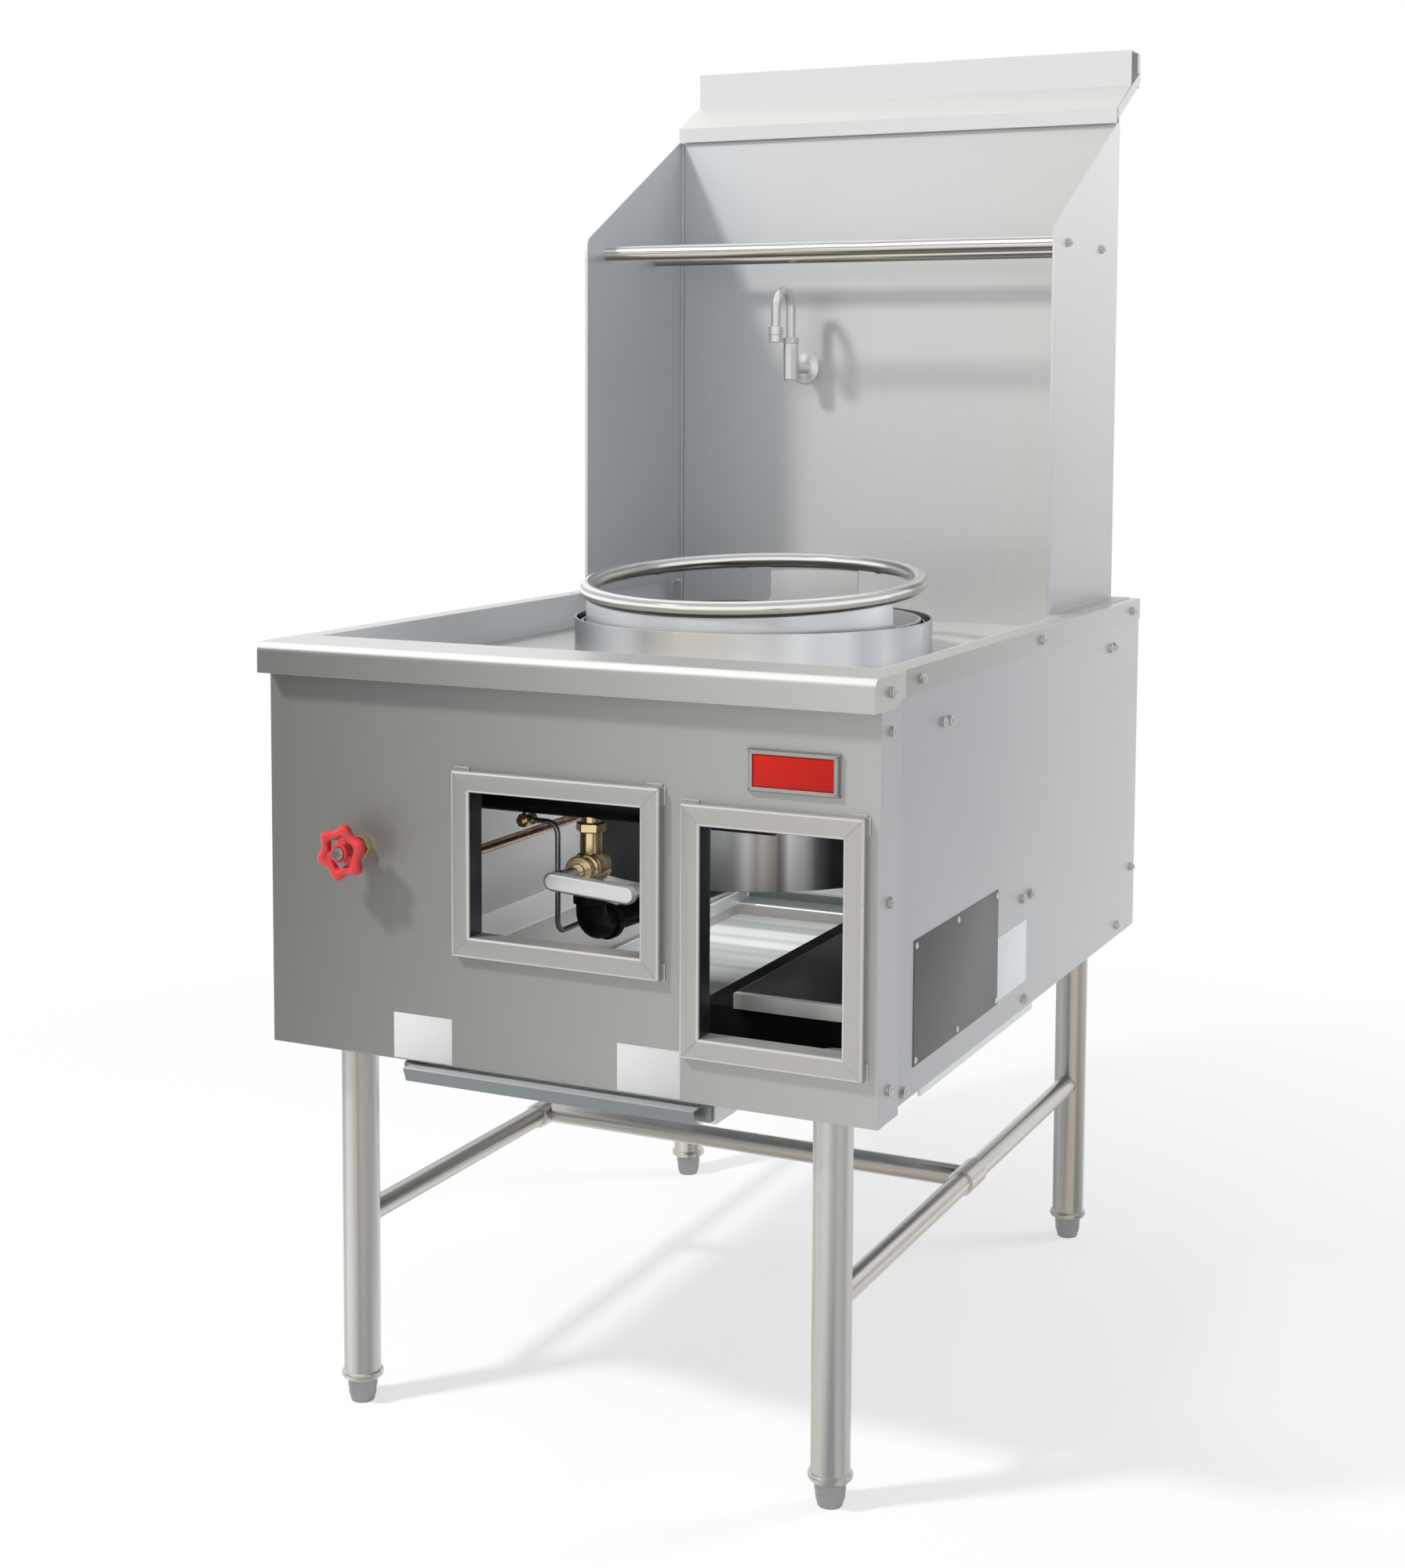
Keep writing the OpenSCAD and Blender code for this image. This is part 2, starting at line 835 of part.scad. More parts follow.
module burner_jet() {
    difference() {
        union() {
            cylinder(r = jet_r, h = jet_h * jet_foot_share, $fn = 6);
            translate([0, 0, jet_h * jet_foot_share])
                cylinder(r1 = jet_tip_r, r2 = jet_tip_r - jet_bore_r / 2, h = jet_h * (1 - jet_foot_share));
        }
        translate([0, 0, jet_h * jet_foot_share])
            cylinder(r = jet_bore_r, h = jet_h);
    }
}

module burner_jets() {
    color("goldenrod")
        for (c = [0:len(jet_counts) - 1], i = [1:jet_counts[c]])
            at_burner(chamber_z + burner_h)
                rotate([0, 0, 360 * i / jet_counts[c]])
                    translate([burner_r * jet_circle_shares[c], 0, 0])
                        burner_jet();
}

module burner_bracket() {
    color("dimgray")
        difference() {
            intersection() {
                translate([-chamber_r, burner_y - bracket_w / 2, chamber_z - bracket_t])
                    cube([2 * chamber_r, bracket_w, bracket_t]);
                at_burner(chamber_z - bracket_t)
                    cylinder(r = chamber_r, h = bracket_t);
            }
            at_burner(chamber_z - bracket_t - over)
                cylinder(r = boss_r + bracket_gap, h = bracket_t + 2 * over);
        }
}

module gas_manifold() {
    color([0.12, 0.12, 0.13]) {
        pipe([[manifold_right, manifold_y, manifold_z], [-manifold_left, manifold_y, manifold_z],
              [-manifold_left, supply_end, manifold_z]],
             manifold_od, manifold_wall, manifold_od);
        rod_x([manifold_right - manifold_wall, manifold_y, manifold_z], manifold_od / 2, manifold_wall);
        locknut([-manifold_left, manifold_z], gas_locknut_od, manifold_od - 2 * manifold_wall);
    }
}

// A locknut on a pipe, against the outside of the rear panel
module locknut(at, od, bore) {
    along_y(counter_d, locknut_t)
        translate(at)
            difference() {
                circle(d = od, $fn = 6);
                circle(d = bore);
            }
}

module gas_valve_body() {
    outlet_z = feed_z + elbow_leg;
    color("goldenrod")
        difference() {
            union() {
                rod_y([valve_x, valve_front, valve_z], valve_r, valve_len);
                rod_y([valve_x, disc_y, valve_z], disc_r, disc_t);
                translate([valve_x, manifold_y, valve_z])
                    cylinder(r = barrel_r, h = barrel_top);
                translate([valve_x, manifold_y, valve_z + barrel_top - union_h / 2])
                    cylinder(r = union_r, h = union_h, $fn = 6);
                translate([valve_x, manifold_y, valve_z + barrel_top])
                    cylinder(r = valve_neck_r, h = manifold_z - valve_z - barrel_top);
                translate([valve_x, manifold_y, outlet_z])
                    cylinder(r = outlet_r, h = valve_z - outlet_z);
            }
            rod_x([valve_x - union_r, manifold_y, manifold_z], manifold_od / 2, 2 * union_r);
            rod_y([valve_x, disc_y - over, valve_z], spindle_r + fit,
                  over + disc_t + valve_len * valve_bore_share);
        }
}

module gas_valve_spindle() {
    from = lever_y + lever_t;
    color("gainsboro") {
        rod_y([valve_x, from, valve_z], spindle_r,
              disc_y + disc_t + valve_len * valve_bore_share - gap - from);
        rod_y([valve_x, from, valve_z], boss_back_r, boss_back_t);
    }
}

module gas_lever() {
    color("gainsboro")
        translate([valve_x, 0, valve_z])
            rotate([0, lever_droop, 0])
                along_y(lever_y, lever_t) {
                    translate([0, -lever_h / 2])
                        square([lever_len, lever_h]);
                    circle(d = lever_h);
                    translate([lever_len, 0])
                        circle(d = lever_h);
                }
}

module feed_elbow() {
    color([0.12, 0.12, 0.13])
        translate(feed_from)
            rotate([0, 0, feed_turn]) {
                pipe([[0, 0, elbow_leg], [0, 0, 0], [0, elbow_leg, 0]], elbow_od, elbow_wall, elbow_bend);
                translate([0, 0, elbow_leg - band_len])
                    linear_extrude(band_len)
                        ring_2d(elbow_od + 2 * band_rise, elbow_wall + band_rise);
                along_y(elbow_leg - band_len, band_len)
                    ring_2d(elbow_od + 2 * band_rise, elbow_wall + band_rise);
            }
}

module feed_pipe() {
    color([0.12, 0.12, 0.13])
        pipe([feed_from + feed_dir * elbow_leg, feed_to - feed_dir * (socket_len - socket_depth + gap)],
             feed_od, feed_wall, feed_od);
}

module pilot_valve() {
    z = manifold_low - pilot_drop;
    front = manifold_y - pilot_body_len / 2;
    color("goldenrod")
        difference() {
            union() {
                rod_y([pilot_x, front, z], pilot_body_r, pilot_body_len, 6);
                translate([pilot_x, manifold_y, z])
                    cylinder(r = pilot_neck_r, h = manifold_z - z);
                rod_x([pilot_x, manifold_y, z], pilot_neck_r, pilot_body_r + pilot_wall);
            }
            rod_x([pilot_x - pilot_body_r, manifold_y, manifold_z], manifold_od / 2, 2 * pilot_body_r);
            rod_y([pilot_x, front - over, z], pilot_screw_r + fit, pilot_screw_in + gap + over);
        }
}

module pilot_screw() {
    front = manifold_y - pilot_body_len / 2;
    color("goldenrod")
        difference() {
            rod_y([pilot_x, front + pilot_screw_in - pilot_screw_len, manifold_low - pilot_drop],
                  pilot_screw_r, pilot_screw_len);
            translate([pilot_x, front + pilot_screw_in - pilot_screw_len, manifold_low - pilot_drop])
                cube([2 * pilot_screw_r, 2 * pilot_wall, pilot_wall], center = true);
        }
}

module pilot_tube() {
    z = manifold_low - pilot_drop;
    end_y = burner_y - pilot_end_gap;
    color("gray")
        pipe([[pilot_x + pilot_body_r + pilot_wall, manifold_y, z], [pilot_drop_x, manifold_y, z],
              [pilot_drop_x, manifold_y, pilot_z], [pilot_drop_x, end_y, pilot_z],
              [pilot_drop_x, end_y, pilot_z + pilot_rise]],
             pilot_od, pilot_wall, pilot_bend);
}

module pilot_burner() {
    color("goldenrod")
        translate([pilot_drop_x, burner_y - pilot_end_gap, pilot_z + pilot_rise])
            difference() {
                cylinder(r1 = pilot_tip_r, r2 = pilot_od / 2, h = pilot_tip_h);
                translate([0, 0, pilot_wall])
                    cylinder(r = pilot_od / 2 - pilot_wall, h = pilot_tip_h);
            }
}

module water_valve_body() {
    color("goldenrod")
        difference() {
            union() {
                rod_y([water_x, -gland_t, water_z], gland_r, gland_t, 6);
                rod_y([water_x, 0, water_z], neck_r, neck_len);
                rod_y([water_x, neck_len, water_z], water_r, water_len);
                translate([water_x, port_y, water_z - port_len])
                    cylinder(r = port_r, h = 2 * port_len);
            }
            rod_y([water_x, -gland_t - over, water_z], stem_r + fit, over + gland_t + port_y);
        }
}

module water_valve_stem() {
    color("goldenrod")
        rod_y([water_x, front_y, water_z], stem_r, port_y - gap - front_y);
}

// Cast wheel: six lobes round a web with three openings, on a hub
module handwheel() {
    hub_len = wheel_t + wheel_gap - hub_back;
    color([0.84, 0.24, 0.24])
        translate([water_x, 0, water_z])
            difference() {
                union() {
                    along_y(wheel_front, wheel_t)
                        difference() {
                            union() {
                                circle(wheel_r - lobe_r / 2);
                                for (i = [1:lobes])
                                    rotate(wheel_turn + 360 * i / lobes)
                                        translate([wheel_r - lobe_r, 0])
                                            circle(lobe_r);
                            }
                            difference() {
                                circle(wheel_web_r);
                                circle(wheel_hub_r);
                                for (i = [1:spokes])
                                    rotate(wheel_turn + 180 + 360 * i / spokes)
                                        translate([0, -wheel_spoke / 2])
                                            square([wheel_r, wheel_spoke]);
                            }
                        }
                    rod_y([0, wheel_front, 0], wheel_hub_r, hub_len);
                }
                rod_y([0, wheel_front - over, 0], stem_r + fit, hub_len + 2 * over);
            }
}

module wheel_nut() {
    color("gainsboro")
        difference() {
            rod_y([water_x, front_y, water_z], nut_r, nut_t, 6);
            rod_y([water_x, front_y - over, water_z], stem_r + fit, nut_t + 2 * over);
        }
}

module tap_pipe() {
    z = water_z - copper_drop;
    color([0.72, 0.42, 0.30])
        pipe([[water_x, port_y, water_z - port_len], [water_x, port_y, z], [water_x, turn_y, z],
              [tap_x, turn_y, z], [tap_x, riser_y, z], [tap_x, riser_y, tap_z],
              [tap_x, shank_end, tap_z]],
             copper_od, copper_wall, copper_bend);
}

module water_supply_pipe() {
    z = water_z + copper_rise;
    color([0.72, 0.42, 0.30]) {
        pipe([[water_x, port_y, water_z + port_len], [water_x, port_y, z], [water_x, supply_end, z]],
             copper_od, copper_wall, copper_bend);
        locknut([water_x, z], water_locknut_od, copper_od - 2 * copper_wall);
    }
}

module back_panel() {
    color("gainsboro")
        difference() {
            translate([-wing_in, back_y, deck_z])
                cube([2 * wing_in, sheet, back_top - deck_z]);
            rod_y([tap_x, back_y - over, tap_z], shank_r + hole_gap, sheet + 2 * over);
        }
}

// Outline of a wing in (y, z), drawn in by the given inset, with a rounded front corner
module wing_section(inset) {
    rise = lip_z - wing_z;
    run = cap_front - wing_y;
    slant = atan2(rise, run);
    start = wing_y + inset;
    turn_in = wing_round * tan((90 - slant) / 2);
    difference() {
        polygon([[start, rim_z], [start, wing_z - inset], [cap_front, lip_z - inset],
                 [back_y, lip_z - inset], [back_y, rim_z]]);
        if (inset == 0)
            wing_corner(slant, turn_in);
    }
}

// What the round takes off the wing's front corner
module wing_corner(slant, turn_in) {
    difference() {
        polygon([[wing_y - over, wing_z - turn_in], [wing_y - over, wing_z + over],
                 [wing_y + turn_in * cos(slant), wing_z + over + turn_in * sin(slant)],
                 [wing_y + turn_in * cos(slant), wing_z + turn_in * sin(slant)],
                 [wing_y + wing_round, wing_z - turn_in]]);
        translate([wing_y + wing_round, wing_z - turn_in])
            circle(wing_round);
    }
}

module right_wing() {
    color("gainsboro") {
        along_x(wing_in, sheet)
            wing_section(0);
        translate([wing_x - sheet, wing_y, rim_z])
            cube([wing_base + sheet, back_y - wing_y, sheet]);
        translate([wing_in, wing_y, rim_z])
            cube([wing_hem_t, wing_fold, wing_z - wing_round - rim_z]);
    }
}

module left_wing() {
    mirror([1, 0, 0])
        right_wing();
}

// Bent sheet over the backsplash: lip, slope and a channel that stands up behind
module top_cap() {
    top = upstand_z + upstand_h;
    slope = slope_rise / slope_run;
    under = lip_z + lip_h - slope_t;
    color("gainsboro")
        along_x(-wing_in, 2 * wing_in)
            polygon([[cap_front, lip_z], [cap_front, lip_z + lip_h], [upstand_y, upstand_z],
                     [upstand_y, top], [rear_y, top], [rear_y, upstand_z],
                     [rear_y - sheet, upstand_z], [rear_y - sheet, top - sheet],
                     [upstand_y + sheet, top - sheet],
                     [upstand_y + sheet, under + (slope_run + sheet) * slope],
                     [cap_front + sheet, under + sheet * slope], [cap_front + sheet, lip_z]]);
}

module rail(y) {
    color("gainsboro")
        rod_x([-wing_in, y, rail_z], rail_r, 2 * wing_in);
}

module front_rail() {
    rail(rail_ys[0]);
}

module rear_rail() {
    rail(rail_ys[1]);
}

module tap_flange() {
    color("gainsboro")
        difference() {
            rod_y([tap_x, back_y - flange_t, tap_z], flange_r, flange_t);
            rod_y([tap_x, back_y - flange_t - over, tap_z], shank_r + fit, flange_t + 2 * over);
        }
}

module tap_body() {
    top = tap_z + tap_high;
    color("gainsboro")
        difference() {
            union() {
                rod_y([tap_x, tap_y, tap_z], shank_r, shank_end - tap_y);
                translate([tap_x, tap_y, tap_z - tap_low])
                    cylinder(d = tap_w, h = tap_low + tap_high, $fn = 8);
                translate([tap_x, tap_y, top])
                    cylinder(r = gland_nut_r, h = gland_nut_h, $fn = 6);
            }
            translate([tap_x, tap_y, top - spout_seat])
                cylinder(r = spout_r + fit, h = spout_seat + gland_nut_h + over);
        }
}

module swing_spout() {
    low = tap_z + tap_high - spout_seat + gap;
    bend_z = tap_z + tap_high + spout_rise;
    color("gainsboro") {
        translate([tap_x, tap_y, low])
            linear_extrude(bend_z - low)
                ring_2d(spout_od, spout_wall);
        set_axes([0, 1, 0], [0, 0, 1], [1, 0, 0], [tap_x, tap_y - spout_bend, bend_z])
            rotate_extrude(angle = 180)
                translate([spout_bend, 0])
                    ring_2d(spout_od, spout_wall);
        translate([tap_x, tap_y - 2 * spout_bend, bend_z - spout_drop])
            linear_extrude(spout_drop)
                ring_2d(spout_od, spout_wall);
    }
}

module aerator() {
    end = tap_z + tap_high + spout_rise - spout_drop;
    color("gainsboro")
        translate([tap_x, tap_y - 2 * spout_bend, end + aerator_seat - aerator_h])
            difference() {
                cylinder(d = aerator_od, h = aerator_h);
                translate([0, 0, aerator_h - aerator_seat])
                    cylinder(r = spout_r + fit, h = aerator_seat + over);
                translate([0, 0, -over])
                    cylinder(r = spout_r - aerator_wall / 2, h = aerator_h);
            }
}

module wok_ring() {
    color("gainsboro")
        at_burner(ring_z)
            rotate([ring_tilt, 0, 0])
                rotate_extrude()
                    translate([ring_r, 0])
                        circle(ring_bar_r);
}

// One end of a skirt window, with its lower corner rounded
module window_end_2d(from, to) {
    tall = ring_z - skirt_z;
    translate([from, band_h + window_round])
        square([to - from, tall]);
    translate([from + window_round, band_h])
        square([to - from - window_round, tall]);
    translate([from + window_round, band_h + window_round])
        circle(window_round);
}

// Cuts the skirt above its band, from the front wall round to the strut at the back
module skirt_window() {
    reach = 2 * ring_r;
    past = ring_r * sin(45) + window_round;
    along_x(0, reach)
        window_end_2d(-ring_r * sin(front_wall_angle), past);
    along_y(0, reach)
        window_end_2d(ring_r * sin(strut_angle / 2), past);
}

// Skirt under the ring: full at the front, with two windows either side of a strut at the back
module wok_ring_skirt() {
    reach = 2 * ring_r;
    color("lightgray")
        difference() {
            at_burner(skirt_z)
                linear_extrude(ring_z + ring_r * sin(ring_tilt) - skirt_z)
                    ring_2d(2 * ring_r + skirt_t, skirt_t);
            at_burner(ring_z)
                rotate([ring_tilt, 0, 0])
                    translate([-reach, -reach, -ring_bar_r])
                        cube([2 * reach, 2 * reach, reach]);
            at_burner(skirt_z) {
                skirt_window();
                mirror([1, 0, 0])
                    skirt_window();
            }
        }
}

// Section of the tray's pull lip in (y, z): a fold that falls to the front and turns back under
module pull_lip() {
    polygon([[tray_y + sheet, tray_top], [-pull_out, tray_top - pull_fall], [pull_back - pull_out, tray_z],
             [pull_back - pull_out + sheet, tray_z], [2 * sheet - pull_out, tray_top - pull_fall - sheet],
             [tray_y + sheet, tray_top - sheet]]);
}

module drip_tray() {
    left = tray_x - tray_w / 2;
    color("lightgray") {
        difference() {
            translate([left, tray_y, tray_z])
                cube([tray_w, tray_len, tray_h]);
            translate([left + sheet, tray_y + sheet, tray_z + sheet])
                cube([tray_w - 2 * sheet, tray_len - 2 * sheet, tray_h]);
        }
        along_x(left + pull_inset, tray_w - 2 * pull_inset)
            pull_lip();
    }
}

// Two rails hung from the base frame, with ledges under the tray
module tray_guides() {
    ledge_top = tray_z - gap;
    side = tray_w / 2 + gap;
    color("dimgray")
        translate([tray_x, 0, 0])
            for (s = [0, 1])
                mirror([s, 0, 0])
                    along_y(sheet + hem, counter_d - 2 * (sheet + hem)) {
                        translate([side, ledge_top - guide_t])
                            square([guide_t, frame_z - ledge_top + guide_t]);
                        translate([side - guide_w, ledge_top - guide_t])
                            square([guide_w + guide_t, guide_t]);
                    }
}

module side_shelf() {
    wide = half_w - sheet - gap - shelf_x;
    color("lightgray")
        difference() {
            translate([shelf_x, shelf_y, shelf_top_z])
                cube([wide, shelf_len, shelf_lip]);
            translate([shelf_x + sheet, shelf_y + sheet, shelf_top_z - over])
                cube([wide, shelf_len, shelf_lip - sheet + over]);
        }
}

// Black bracket under the shelf: top plate, front apron and a flange that stands on the base frame
module shelf_support() {
    left = shelf_x - shelf_margin;
    right = frame_x - frame_t;
    front = shelf_y + apron_in;
    deep = shelf_len - 2 * apron_in;
    color([0.1, 0.1, 0.1]) {
        translate([left, front, shelf_top_z - support_t])
            cube([right - left, deep, support_t]);
        translate([left, front, shelf_top_z - apron_h])
            cube([right - left, support_t, apron_h]);
        translate([right - support_t, front, frame_z + frame_t])
            cube([support_t, deep, shelf_top_z - frame_z - frame_t]);
    }
}

module leg(x, y) {
    top = frame_z + frame_h;
    bead_r = foot_ring_h / 2;
    tube_z = foot_h + foot_ring_h * bead_step_share;
    plug_top = foot_h + stud_len + plug_end;
    color("silver")
        translate([x, y, 0])
            difference() {
                union() {
                    translate([0, 0, foot_h + bead_r])
                        rotate_extrude()
                            translate([foot_ring_r - bead_r, 0])
                                circle(bead_r);
                    translate([0, 0, tube_z])
                        cylinder(r = leg_r, h = top - tube_z);
                }
                translate([0, 0, plug_top])
                    cylinder(r = leg_r - leg_wall, h = top - plug_top + over);
                translate([0, 0, foot_h - over])
                    cylinder(r = stud_r + fit, h = stud_len + 2 * over);
            }
}

module leg_front_left() {
    leg(-leg_x, leg_front_y);
}

module leg_front_right() {
    leg(leg_x, leg_front_y);
}

module leg_rear_left() {
    leg(-leg_x, leg_rear_y);
}

module leg_rear_right() {
    leg(leg_x, leg_rear_y);
}

// Levelling foot: a round collar over a tapered hexagon, on a stud
module foot(x, y) {
    top = foot_h - gap;
    hex_z = foot_h * foot_hex_share;
    color("gray")
        translate([x, y, 0]) {
            intersection() {
                rotate_extrude()
                    polygon([[0, 0], [foot_tip_r, 0], [foot_mid_r, foot_h * foot_mid_share],
                             [foot_top_r, hex_z], [0, hex_z]]);
                cylinder(r = foot_hex_r, h = foot_h, $fn = 6);
            }
            translate([0, 0, hex_z])
                cylinder(r = foot_top_r, h = top - hex_z);
            cylinder(r = stud_r, h = top + stud_len);
        }
}

module foot_front_left() {
    foot(-leg_x, leg_front_y);
}

module foot_front_right() {
    foot(leg_x, leg_front_y);
}

module foot_rear_left() {
    foot(-leg_x, leg_rear_y);
}

module foot_rear_right() {
    foot(leg_x, leg_rear_y);
}

module side_stretcher(x) {
    color("silver")
        difference() {
            union() {
                rod_y([x, leg_front_y, stretcher_z], stretcher_od / 2, leg_rear_y - leg_front_y);
                rod_y([x, cross_y - tee_len / 2, stretcher_z], tee_r, tee_len);
            }
            for (y = leg_ys)
                translate([x, y, stretcher_z - stretcher_od])
                    cylinder(r = leg_r, h = 2 * stretcher_od);
        }
}

module left_stretcher() {
    side_stretcher(-leg_x);
}

module right_stretcher() {
    side_stretcher(leg_x);
}

module cross_stretcher() {
    color("silver")
        difference() {
            rod_x([-leg_x, cross_y, stretcher_z], stretcher_od / 2, 2 * leg_x);
            for (x = [-leg_x, leg_x])
                rod_y([x, cross_y - stretcher_od, stretcher_z], tee_r, 2 * stretcher_od);
        }
}

module bolt_head(x, p) {
    nut_h = bolt_h * bolt_nut_share;
    end_r = bolt_r * bolt_end_share;
    translate([x, p[0], p[1]])
        rotate([0, 90, 0]) {
            cylinder(r = bolt_r, h = nut_h, $fn = 6);
            translate([0, 0, nut_h])
                cylinder(r1 = end_r, r2 = end_r * bolt_nut_share, h = bolt_h - nut_h);
        }
}

module panel_bolts() {
    color("gainsboro")
        for (s = [0, 1])
            mirror([s, 0, 0]) {
                for (p = ear_bolts)
                    bolt_head(outer_x + sheet, p);
                for (p = concat(rim_bolts, return_bolts))
                    bolt_head(outer_x, p);
                for (p = panel_bolt_places)
                    bolt_head(half_w, p);
                for (y = rail_ys)
                    bolt_head(wing_x, [y, rail_z]);
            }
}

// Moves a piece from the front panel's face to the middle of the footprint
module placed() {
    translate([0, -origin_y, 0])
        children();
}

placed() front_panel();
placed() left_side_panel();
placed() right_side_panel();
placed() rear_panel();
placed() base_frame();
placed() deck_pan();
placed() deck_collar();
placed() front_cap();
placed() left_rim();
placed() right_rim();
placed() valve_window_trim();
placed() tray_window_trim();
placed() fire_chamber();
placed() burner_head();
placed() burner_jets();
placed() burner_bracket();
placed() gas_manifold();
placed() gas_valve_body();
placed() gas_valve_spindle();
placed() gas_lever();
placed() feed_elbow();
placed() feed_pipe();
placed() pilot_valve();
placed() pilot_screw();
placed() pilot_tube();
placed() pilot_burner();
placed() water_valve_body();
placed() water_valve_stem();
placed() handwheel();
placed() wheel_nut();
placed() tap_pipe();
placed() water_supply_pipe();
placed() back_panel();
placed() left_wing();
placed() right_wing();
placed() top_cap();
placed() front_rail();
placed() rear_rail();
placed() tap_flange();
placed() tap_body();
placed() swing_spout();
placed() aerator();
placed() wok_ring();
placed() wok_ring_skirt();
placed() drip_tray();
placed() tray_guides();
placed() side_shelf();
placed() shelf_support();
placed() leg_front_left();
placed() leg_front_right();
placed() leg_rear_left();
placed() leg_rear_right();
placed() foot_front_left();
placed() foot_front_right();
placed() foot_rear_left();
placed() foot_rear_right();
placed() left_stretcher();
placed() right_stretcher();
placed() cross_stretcher();
placed() panel_bolts();
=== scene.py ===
import json
import math

import bmesh
import bpy
from mathutils import Matrix, Vector

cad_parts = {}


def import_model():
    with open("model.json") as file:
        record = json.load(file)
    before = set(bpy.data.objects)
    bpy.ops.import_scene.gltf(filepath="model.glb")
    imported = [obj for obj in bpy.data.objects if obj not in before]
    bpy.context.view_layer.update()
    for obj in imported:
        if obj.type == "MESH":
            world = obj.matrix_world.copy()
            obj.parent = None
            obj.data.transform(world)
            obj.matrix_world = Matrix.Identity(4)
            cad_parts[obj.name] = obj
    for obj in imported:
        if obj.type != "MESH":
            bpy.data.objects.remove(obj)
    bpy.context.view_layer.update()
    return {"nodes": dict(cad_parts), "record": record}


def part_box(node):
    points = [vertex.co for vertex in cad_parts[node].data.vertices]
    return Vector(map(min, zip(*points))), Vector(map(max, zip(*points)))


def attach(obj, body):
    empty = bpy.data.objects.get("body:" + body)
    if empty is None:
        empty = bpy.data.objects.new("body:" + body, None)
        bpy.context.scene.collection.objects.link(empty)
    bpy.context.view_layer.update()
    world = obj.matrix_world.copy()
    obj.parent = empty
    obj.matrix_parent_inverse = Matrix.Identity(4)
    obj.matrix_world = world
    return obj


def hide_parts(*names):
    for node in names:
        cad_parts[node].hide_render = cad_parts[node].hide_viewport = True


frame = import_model()
nodes = frame["nodes"]
collection = bpy.context.scene.collection

# Sizes are written in millimetres from the front panel's face, as in the part's source.
MM = 0.001
ORIGIN_Y = 495.5
# y of the shelf bracket's front; the shelf's top is bare as far as that
BRACKET_FRONT = 88.0


def at(x, y, z):
    """A place in those millimetres, as metres in the row frame."""
    return Vector((x * MM, (y - ORIGIN_Y) * MM, z * MM))


# Camera, at the photograph's place
CAMERA_PLACE = (1145.77, -2062.98, 1138.18)
CAMERA_YAW = 25.4278
CAMERA_PITCH = 4.6997
CAMERA_ROLL = 0.2556
FOCAL_LENGTH_PX = 2952.13
PHOTO_HEIGHT_PX = 2000
SENSOR = 36
SHIFT_Y = -0.13


def aim(yaw, pitch, roll):
    """A camera's turn in degrees: yaw to the left of straight back, pitch down, and roll."""
    yaw, pitch, roll = map(math.radians, (yaw, pitch, roll))
    level = math.cos(pitch)
    look = Vector((-math.sin(yaw) * level, math.cos(yaw) * level, -math.sin(pitch)))
    side = Vector((math.cos(yaw), math.sin(yaw), 0))
    up = side.cross(look)
    across = side * math.cos(roll) + up * math.sin(roll)
    upright = up * math.cos(roll) - side * math.sin(roll)
    return Matrix((across, upright, -look)).transposed().to_4x4()


def camera():
    lens = bpy.data.cameras.new("camera")
    lens.sensor_width = SENSOR
    lens.lens = SENSOR * FOCAL_LENGTH_PX / PHOTO_HEIGHT_PX
    lens.shift_y = SHIFT_Y
    ob = bpy.data.objects.new("camera", lens)
    collection.objects.link(ob)
    ob.matrix_world = Matrix.Translation(at(*CAMERA_PLACE)) @ aim(CAMERA_YAW, CAMERA_PITCH, CAMERA_ROLL)
    bpy.context.scene.camera = ob
    bpy.context.scene.view_settings.view_transform = "Standard"


camera()

# Materials
# colours that arrises are lightened towards: painted highlights along the edges, on the coated shelf plate
# also bare wear
BARE_EDGE_HIGHLIGHT = (0.85, 0.85, 0.84)
STEEL_EDGE_HIGHLIGHT = (0.88, 0.87, 0.85)
EDGE_RADIUS = 0.0009
LINE_DEPTH = 0.00002
POLISH_DEPTH = 0.00001


